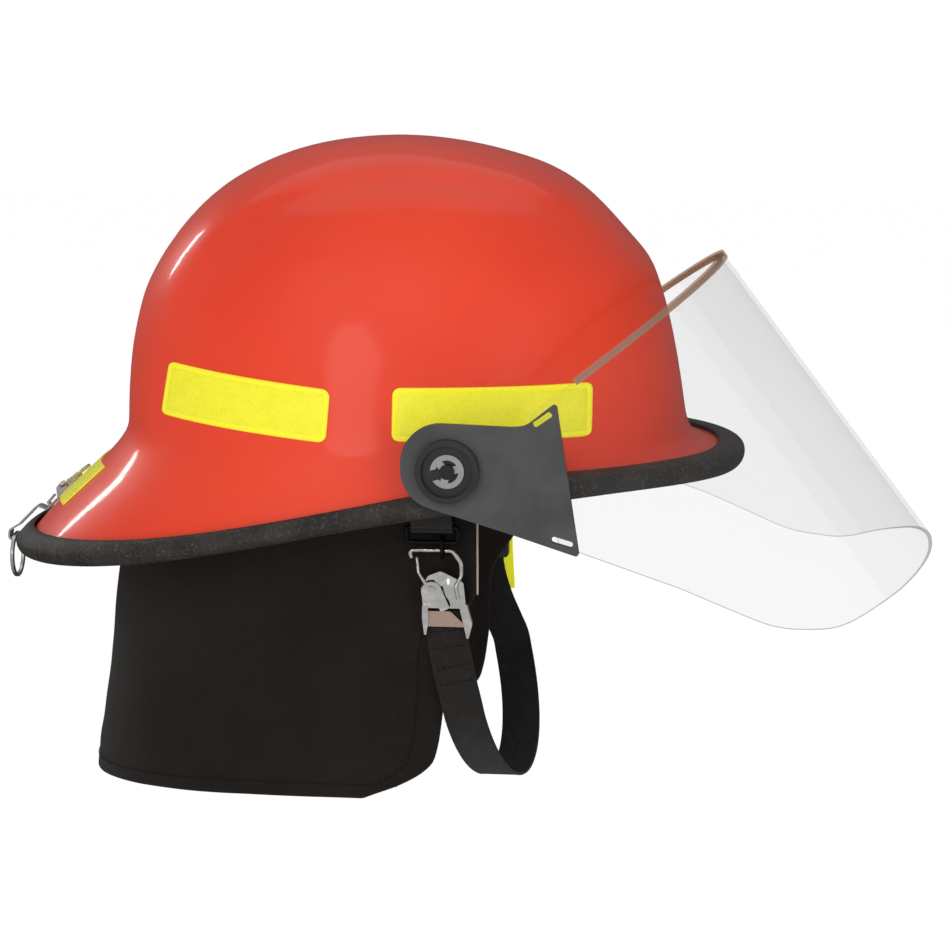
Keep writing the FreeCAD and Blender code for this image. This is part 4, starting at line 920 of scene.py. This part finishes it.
def chin_line():
    """Middle line of the chin strap from the buckle, under the chin, to the far ring."""
    side_x = BUCKLE_X - 2.9
    loop_x = side_x - 0.6
    points = [(-side_x, -32.0, -50.5), (-side_x, -33.0, -64.0), (-side_x, -36.5, -82.0)]
    points.append((-loop_x, LOOP_Y, LOOP_Z))
    for step in range(1, 24):
        turn = math.pi * step / 24.0
        share = math.sin(turn)
        across = -loop_x * math.cos(turn)
        points.append((across, LOOP_Y - LOOP_FORWARD * share, LOOP_Z - LOOP_DROP * share ** 0.9))
    points.append((loop_x, -37.5, LOOP_Z))
    points += [(side_x, -32.0, -82.0), (side_x, -27.5, -64.0), (side_x + 0.4, -26.8, -40.0)]
    points.append((side_x + 0.6, -26.5, -22.0))
    return [Vector(p) * MM for p in points]


def build_chin_strap():
    """The chin strap with four rows of stitches below the buckle."""
    frames = strap_frames(curve_through(chin_line(), 4), ALONG_Y)
    strap = give(webbing("chin_webbing", frames, STRAP_WIDTH, STRAP_WALL), "chin", "webbing")
    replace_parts(strap, "chin_strap")
    marks = []
    for row in range(4):
        point, wide, deep = frames[3 + 2 * row]
        outward = deep if deep.x < 0.0 else -deep
        for column in range(6):
            centre = point + wide * ((column - 2.5) * 2.9 * MM) + outward * (0.55 * STRAP_WALL)
            marks.append((centre, wide, outward))
    sewn = stitches("chin_strap_stitching", marks, 2.2 * MM, 0.22 * MM)
    give(sewn, "chin", "webbing", DARK_THREAD)


def looped_end(name, x, y, z, radius):
    """The end of a strap folded round a bar that runs along Y."""
    frames = []
    for step in range(33):
        turn = math.radians(-60.0 + 300.0 * step / 32.0)
        out = Vector((math.cos(turn), 0.0, math.sin(turn)))
        point = Vector((x, y, z)) * MM + out * (radius * MM)
        frames.append((point, ALONG_Y, out))
    return give(webbing(name, frames, STRAP_WIDTH, STRAP_WALL), "chin", "webbing")


def build_tabs():
    """The short straps that hold the rings, each folded round its ring's bar."""
    for word, side in (("right", -1), ("left", 1)):
        corners = [(111.5, 16.4), (111.5, 9.0), (111.4, 2.5), (109.6, -3.4), (BUCKLE_X + 2.4, RING_BAR_Z)]
        points = [Vector((side * x, TAB_Y, z)) * MM for x, z in corners]
        frames = strap_frames(curve_through(points, 6), ALONG_Y)
        tab = webbing("hanger_webbing_" + word, frames, STRAP_WIDTH, STRAP_WALL)
        give(tab, "chin", "webbing")
        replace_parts(tab, "hanger_tab_" + word)
        looped_end("hanger_fold_" + word, side * BUCKLE_X, TAB_Y, RING_BAR_Z, 2.3)
    looped_end("chin_fold", BUCKLE_X, -26.5, -16.5, 2.4)


def build_pull_tab():
    """The yellow free end of the strap: flat on the slide, then a little curled."""
    points = []
    for step in range(9):
        share = step / 8.0
        curl = 2.1 + 1.5 * smooth((share - 0.42) / 0.58)
        points.append(Vector((BUCKLE_X + curl, -37.3 - 1.4 * share, -46.2 - 33.4 * share)) * MM)
    frames = strap_frames(curve_through(points, 3), ALONG_Y)
    tab = give(webbing("pull_tab_webbing", frames, 8.4 * MM, 1.3 * MM), "chin", "yellow_webbing")
    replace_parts(tab, "pull_tab")


build_chin_strap()
build_tabs()
build_pull_tab()


# ------------------------------------------------------------ suspension

BAND_MIDDLE, BAND_HALF = 4.0, 96.0
BAND_SIDE, BAND_FRONT = 82.0, -92.0
BAND_SQUARE = 2.4
BAND_HEIGHT = 30.0
CROWN_TOP = 128.0
# The brow pad lies inside the headband; the nape pad bends round its own middle.
BROW_OFFSET = -3.9
NAPE_MIDDLE, NAPE_RADIUS = Vector((0.0, 27.0, -8.0)), 67.1


def band_point(turn, grow=0.0):
    """Middle of the headband wall at a turn, in millimetres."""
    across, along = math.cos(turn), math.sin(turn)
    reach = (abs(across) ** BAND_SQUARE + abs(along) ** BAND_SQUARE) ** (-1.0 / BAND_SQUARE)
    y = BAND_MIDDLE + (BAND_HALF + grow) * along * reach
    return Vector(((BAND_SIDE + grow) * across * reach, y, 24.0 - (y - BAND_FRONT) / 6.0))


def crown_line(angle, level):
    """A crown strap from one key, over the head, to the key opposite."""
    top = CROWN_TOP + level * 2.0
    halves = []
    for end in (0.0, 180.0):
        foot = band_point(math.radians(angle + end), 2.6)
        start = foot.z + 0.5 * BAND_HEIGHT
        flat = Vector((foot.x, foot.y - BAND_MIDDLE, 0.0))
        middle = Vector((0.0, BAND_MIDDLE, 0.0))
        half = [middle + flat + Vector((0.0, 0.0, start + h)) for h in (-9.0, -4.0, 1.0)]
        for step in range(1, 12):
            rise = 0.5 * math.pi * step / 11.0
            out = max(0.0, math.cos(rise)) ** 0.85
            lift = start + 1.0 + (top - start - 1.0) * math.sin(rise)
            half.append(middle + flat * out + Vector((0.0, 0.0, lift)))
        halves.append(half)
    return [p * MM for p in halves[0] + halves[1][-2::-1]]


def build_crown():
    """Three straps over the head, each a little above the one before."""
    for level, angle in enumerate((0.0, 50.0, 130.0)):
        line = curve_through(crown_line(angle, level), 3)
        hint = Vector((-math.sin(math.radians(angle)), math.cos(math.radians(angle)), 0.0))
        strap = webbing("crown_webbing_%d" % (level + 1), strap_frames(line, hint), STRAP_WIDTH, STRAP_WALL)
        give(strap, "helmet", "webbing")
        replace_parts(strap, "crown_strap_%d" % (level + 1))


def puffed(piece, push, steps=16, most=1.6 * MM):
    """Swell a closed pad with a short cloth run, then smooth it."""
    add_modifier(piece, "REMESH", mode="VOXEL", voxel_size=2.6 * MM)
    apply_modifiers(piece)
    before = [v.co.copy() for v in piece.data.vertices]
    cloth = piece.modifiers.new("swell", "CLOTH")
    cloth.settings.use_pressure = True
    cloth.settings.uniform_pressure_force = push
    cloth.settings.effector_weights.gravity = 0.0
    cloth.settings.quality = 4
    cloth.point_cache.frame_start = 1
    cloth.point_cache.frame_end = steps
    for step in range(1, steps + 1):
        SCENE.frame_set(step)
    apply_modifiers(piece)
    for vertex, start in zip(piece.data.vertices, before):
        moved = vertex.co - start
        if moved.length > most:
            vertex.co = start + moved * (most / moved.length)
    SCENE.frame_set(1)
    add_modifier(piece, "SMOOTH", factor=0.5, iterations=4)
    apply_modifiers(piece)


def apply_modifiers(piece):
    """Replace the mesh by what its modifiers make of it."""
    graph = bpy.context.evaluated_depsgraph_get()
    graph.update()
    made = bpy.data.meshes.new_from_object(piece.evaluated_get(graph))
    piece.modifiers.clear()
    piece.data = made
    piece.data.shade_smooth()


def pad_block(name, frames, width, wall, inset):
    """A closed pad through frames, slightly smaller than its CAD solid."""
    points, faces = [], []
    profile = []
    for step in range(16):
        turn = 2.0 * math.pi * step / 16.0
        c, s = math.cos(turn), math.sin(turn)
        reach = (abs(c) ** 5 + abs(s) ** 5) ** -0.2
        profile.append((c * reach * (0.5 * width - inset), s * reach * (0.5 * wall - inset)))
    count = len(profile)
    for i, (point, wide, deep) in enumerate(frames):
        ends = min(i, len(frames) - 1 - i)
        pinch = (0.55, 0.86, 0.97, 1.0)[min(ends, 3)]
        for x, y in profile:
            points.append(point + wide * (x * pinch) + deep * (y * pinch))
    for i in range(len(frames) - 1):
        for k in range(count):
            a, b = i * count + k, i * count + (k + 1) % count
            faces.append((a, b, b + count, a + count))
    faces.append(tuple(reversed(range(count))))
    last = (len(frames) - 1) * count
    faces.append(tuple(range(last, last + count)))
    return recalc(mesh_piece(name, points, faces))


def quilt(piece, radius, pitch, deep):
    """Press sewn channels into a pad's inner face: shallow valleys every pitch."""
    for vertex in piece.data.vertices:
        outward = Vector((vertex.co.x, vertex.co.y - BAND_MIDDLE * MM, 0.0)).normalized()
        along = math.atan2(vertex.co.y - BAND_MIDDLE * MM, vertex.co.x) * radius
        press = math.exp(-(((along / pitch) % 1.0 - 0.5) / 0.12) ** 2)
        facing = max(0.0, -vertex.normal.dot(outward))
        vertex.co += outward * (deep * press * facing)


def build_pads():
    """The brow and nape pads, swollen a little and dressed in napped cloth."""
    frames = []
    for step in range(33):
        turn = math.radians(-144.0 + 108.0 * step / 32.0)
        tangent = band_point(turn + 0.01, BROW_OFFSET) - band_point(turn - 0.01, BROW_OFFSET)
        deep = tangent.cross(Vector((0.0, 0.0, 1.0))).normalized()
        frames.append((band_point(turn, BROW_OFFSET) * MM, Vector((0.0, 0.0, 1.0)), deep))
    brow = pad_block("brow_cushion", frames, 34.0 * MM, 5.0 * MM, 0.35 * MM)
    puffed(brow, 1.2, most=0.5 * MM)
    quilt(brow, 85.0 * MM, 16.0 * MM, 0.9 * MM)
    give(brow, "helmet", "pad_cloth")
    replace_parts(brow, "brow_pad")
    frames = []
    for step in range(25):
        turn = math.radians(57.0 + 66.0 * step / 24.0)
        out = Vector((math.cos(turn), math.sin(turn), 0.0))
        point = NAPE_MIDDLE * MM + out * (NAPE_RADIUS * MM)
        frames.append((point, Vector((0.0, 0.0, 1.0)), out))
    nape = pad_block("nape_cushion", frames, 32.0 * MM, 6.2 * MM, 0.4 * MM)
    puffed(nape, 1.2, most=0.5 * MM)
    give(nape, "helmet", "pad_cloth")
    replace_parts(nape, "nape_pad")


build_crown()
build_pads()


# ------------------------------------------------------------ stage, light, camera

FLOOR_Z, FLOOR_HALF = -0.26, 6.0
LIGHT_AIM = Vector((0.0, 0.0, 0.03))


def build_floor():
    """White paper under the helmet, bright enough to meet the white walls unseen."""
    corners = ((-1.0, -1.0), (1.0, -1.0), (1.0, 1.0), (-1.0, 1.0))
    points = [(x * FLOOR_HALF, y * FLOOR_HALF, FLOOR_Z) for x, y in corners]
    floor = mesh_piece("floor", points, [(0, 1, 2, 3)], smooth=False)
    paint = Paint("floor_paper", (0.07, 0.07, 0.07), 0.95, Specular_IOR_Level=0.0)
    paint.glow((1.0, 1.0, 1.0), 0.97)
    fibre = paint.noise(paint.place(), 40.0, 4.0)
    paint.set("Base Color", paint.mix(fibre, (0.06, 0.06, 0.06), (0.08, 0.08, 0.08)))
    floor.data.materials.append(paint.material)
    floor.visible_glossy = False


def softbox(name, place, width, height, watts, mirrored=True):
    """An area light; unmirrored ones light the object but leave no reflection."""
    lamp = bpy.data.lights.new(name, "AREA")
    lamp.shape = "ELLIPSE"
    lamp.size, lamp.size_y = width, height
    lamp.energy = watts
    made = linked(name, lamp)
    made.location = place
    made.rotation_mode = "QUATERNION"
    made.rotation_quaternion = (LIGHT_AIM - Vector(place)).to_track_quat("-Z", "Y")
    made.visible_glossy = mirrored


def world_ramp(tree, source, levels):
    """Brightness of the studio walls; levels are (from, to, low, high)."""
    ramp = tree.nodes.new("ShaderNodeMapRange")
    for place, level in enumerate(levels):
        ramp.inputs[place + 1].default_value = level
    tree.links.new(source, ramp.inputs[0])
    return ramp.outputs[0]


def world_math(tree, operation, first, second):
    made = tree.nodes.new("ShaderNodeMath")
    made.operation = operation
    tree.links.new(first, made.inputs[0])
    tree.links.new(second, made.inputs[1])
    return made.outputs[0]


def build_world():
    """The camera sees white walls; light and reflections come from dimmer ones."""
    world = bpy.data.worlds.new("studio")
    world.use_nodes = True
    tree = world.node_tree
    back = tree.nodes["Background"]
    coord = tree.nodes.new("ShaderNodeTexCoord")
    split = tree.nodes.new("ShaderNodeSeparateXYZ")
    tree.links.new(coord.outputs["Generated"], split.inputs[0])
    across, upward = split.outputs[0], split.outputs[2]
    soft = world_ramp(tree, across, (-0.2, 0.7, 0.25, 0.55))
    wall = world_ramp(tree, across, (-0.8, 0.5, 0.34, -0.05))
    ceiling = world_ramp(tree, upward, (-0.3, 0.5, 0.10, 0.28))
    mirrored = world_math(tree, "ADD", wall, ceiling)
    seen = tree.nodes.new("ShaderNodeLightPath")
    choice = tree.nodes.new("ShaderNodeMix")
    tree.links.new(seen.outputs["Is Glossy Ray"], choice.inputs[0])
    tree.links.new(soft, choice.inputs[2])
    tree.links.new(mirrored, choice.inputs[3])
    strength = world_math(tree, "MAXIMUM", seen.outputs["Is Camera Ray"], choice.outputs[0])
    tree.links.new(strength, back.inputs["Strength"])
    back.inputs["Color"].default_value = (1.0, 1.0, 1.0, 1.0)
    SCENE.world = world


def build_camera():
    eye = Vector((-1.5685, -0.2266, 0.2503))
    view = Vector((0.9803, 0.1204, -0.1564))
    lens = bpy.data.cameras.new("camera")
    lens.lens = 118.4
    lens.sensor_width = 36.0
    made = linked("camera", lens)
    made.location = eye
    made.rotation_mode = "QUATERNION"
    made.rotation_quaternion = view.to_track_quat("-Z", "Y")
    SCENE.camera = made


build_floor()
build_world()
build_camera()
softbox("top_softbox", (0.5, 0.1, 1.6), 2.2, 1.6, 4.5)
softbox("rear_softbox", (0.9, 1.5, 0.75), 0.13, 0.5, 4.0)
softbox("window_softbox", (-2.2, 0.54, 0.55), 0.45, 0.6, 1.4)
softbox("key_softbox", (-2.4, 0.7, 1.5), 2.0, 2.0, 33.0, mirrored=False)
softbox("fill_softbox", (-2.2, -1.8, 0.4), 2.0, 2.0, 24.0, mirrored=False)
SCENE.view_settings.view_transform = "Standard"
SCENE.view_settings.look = "None"
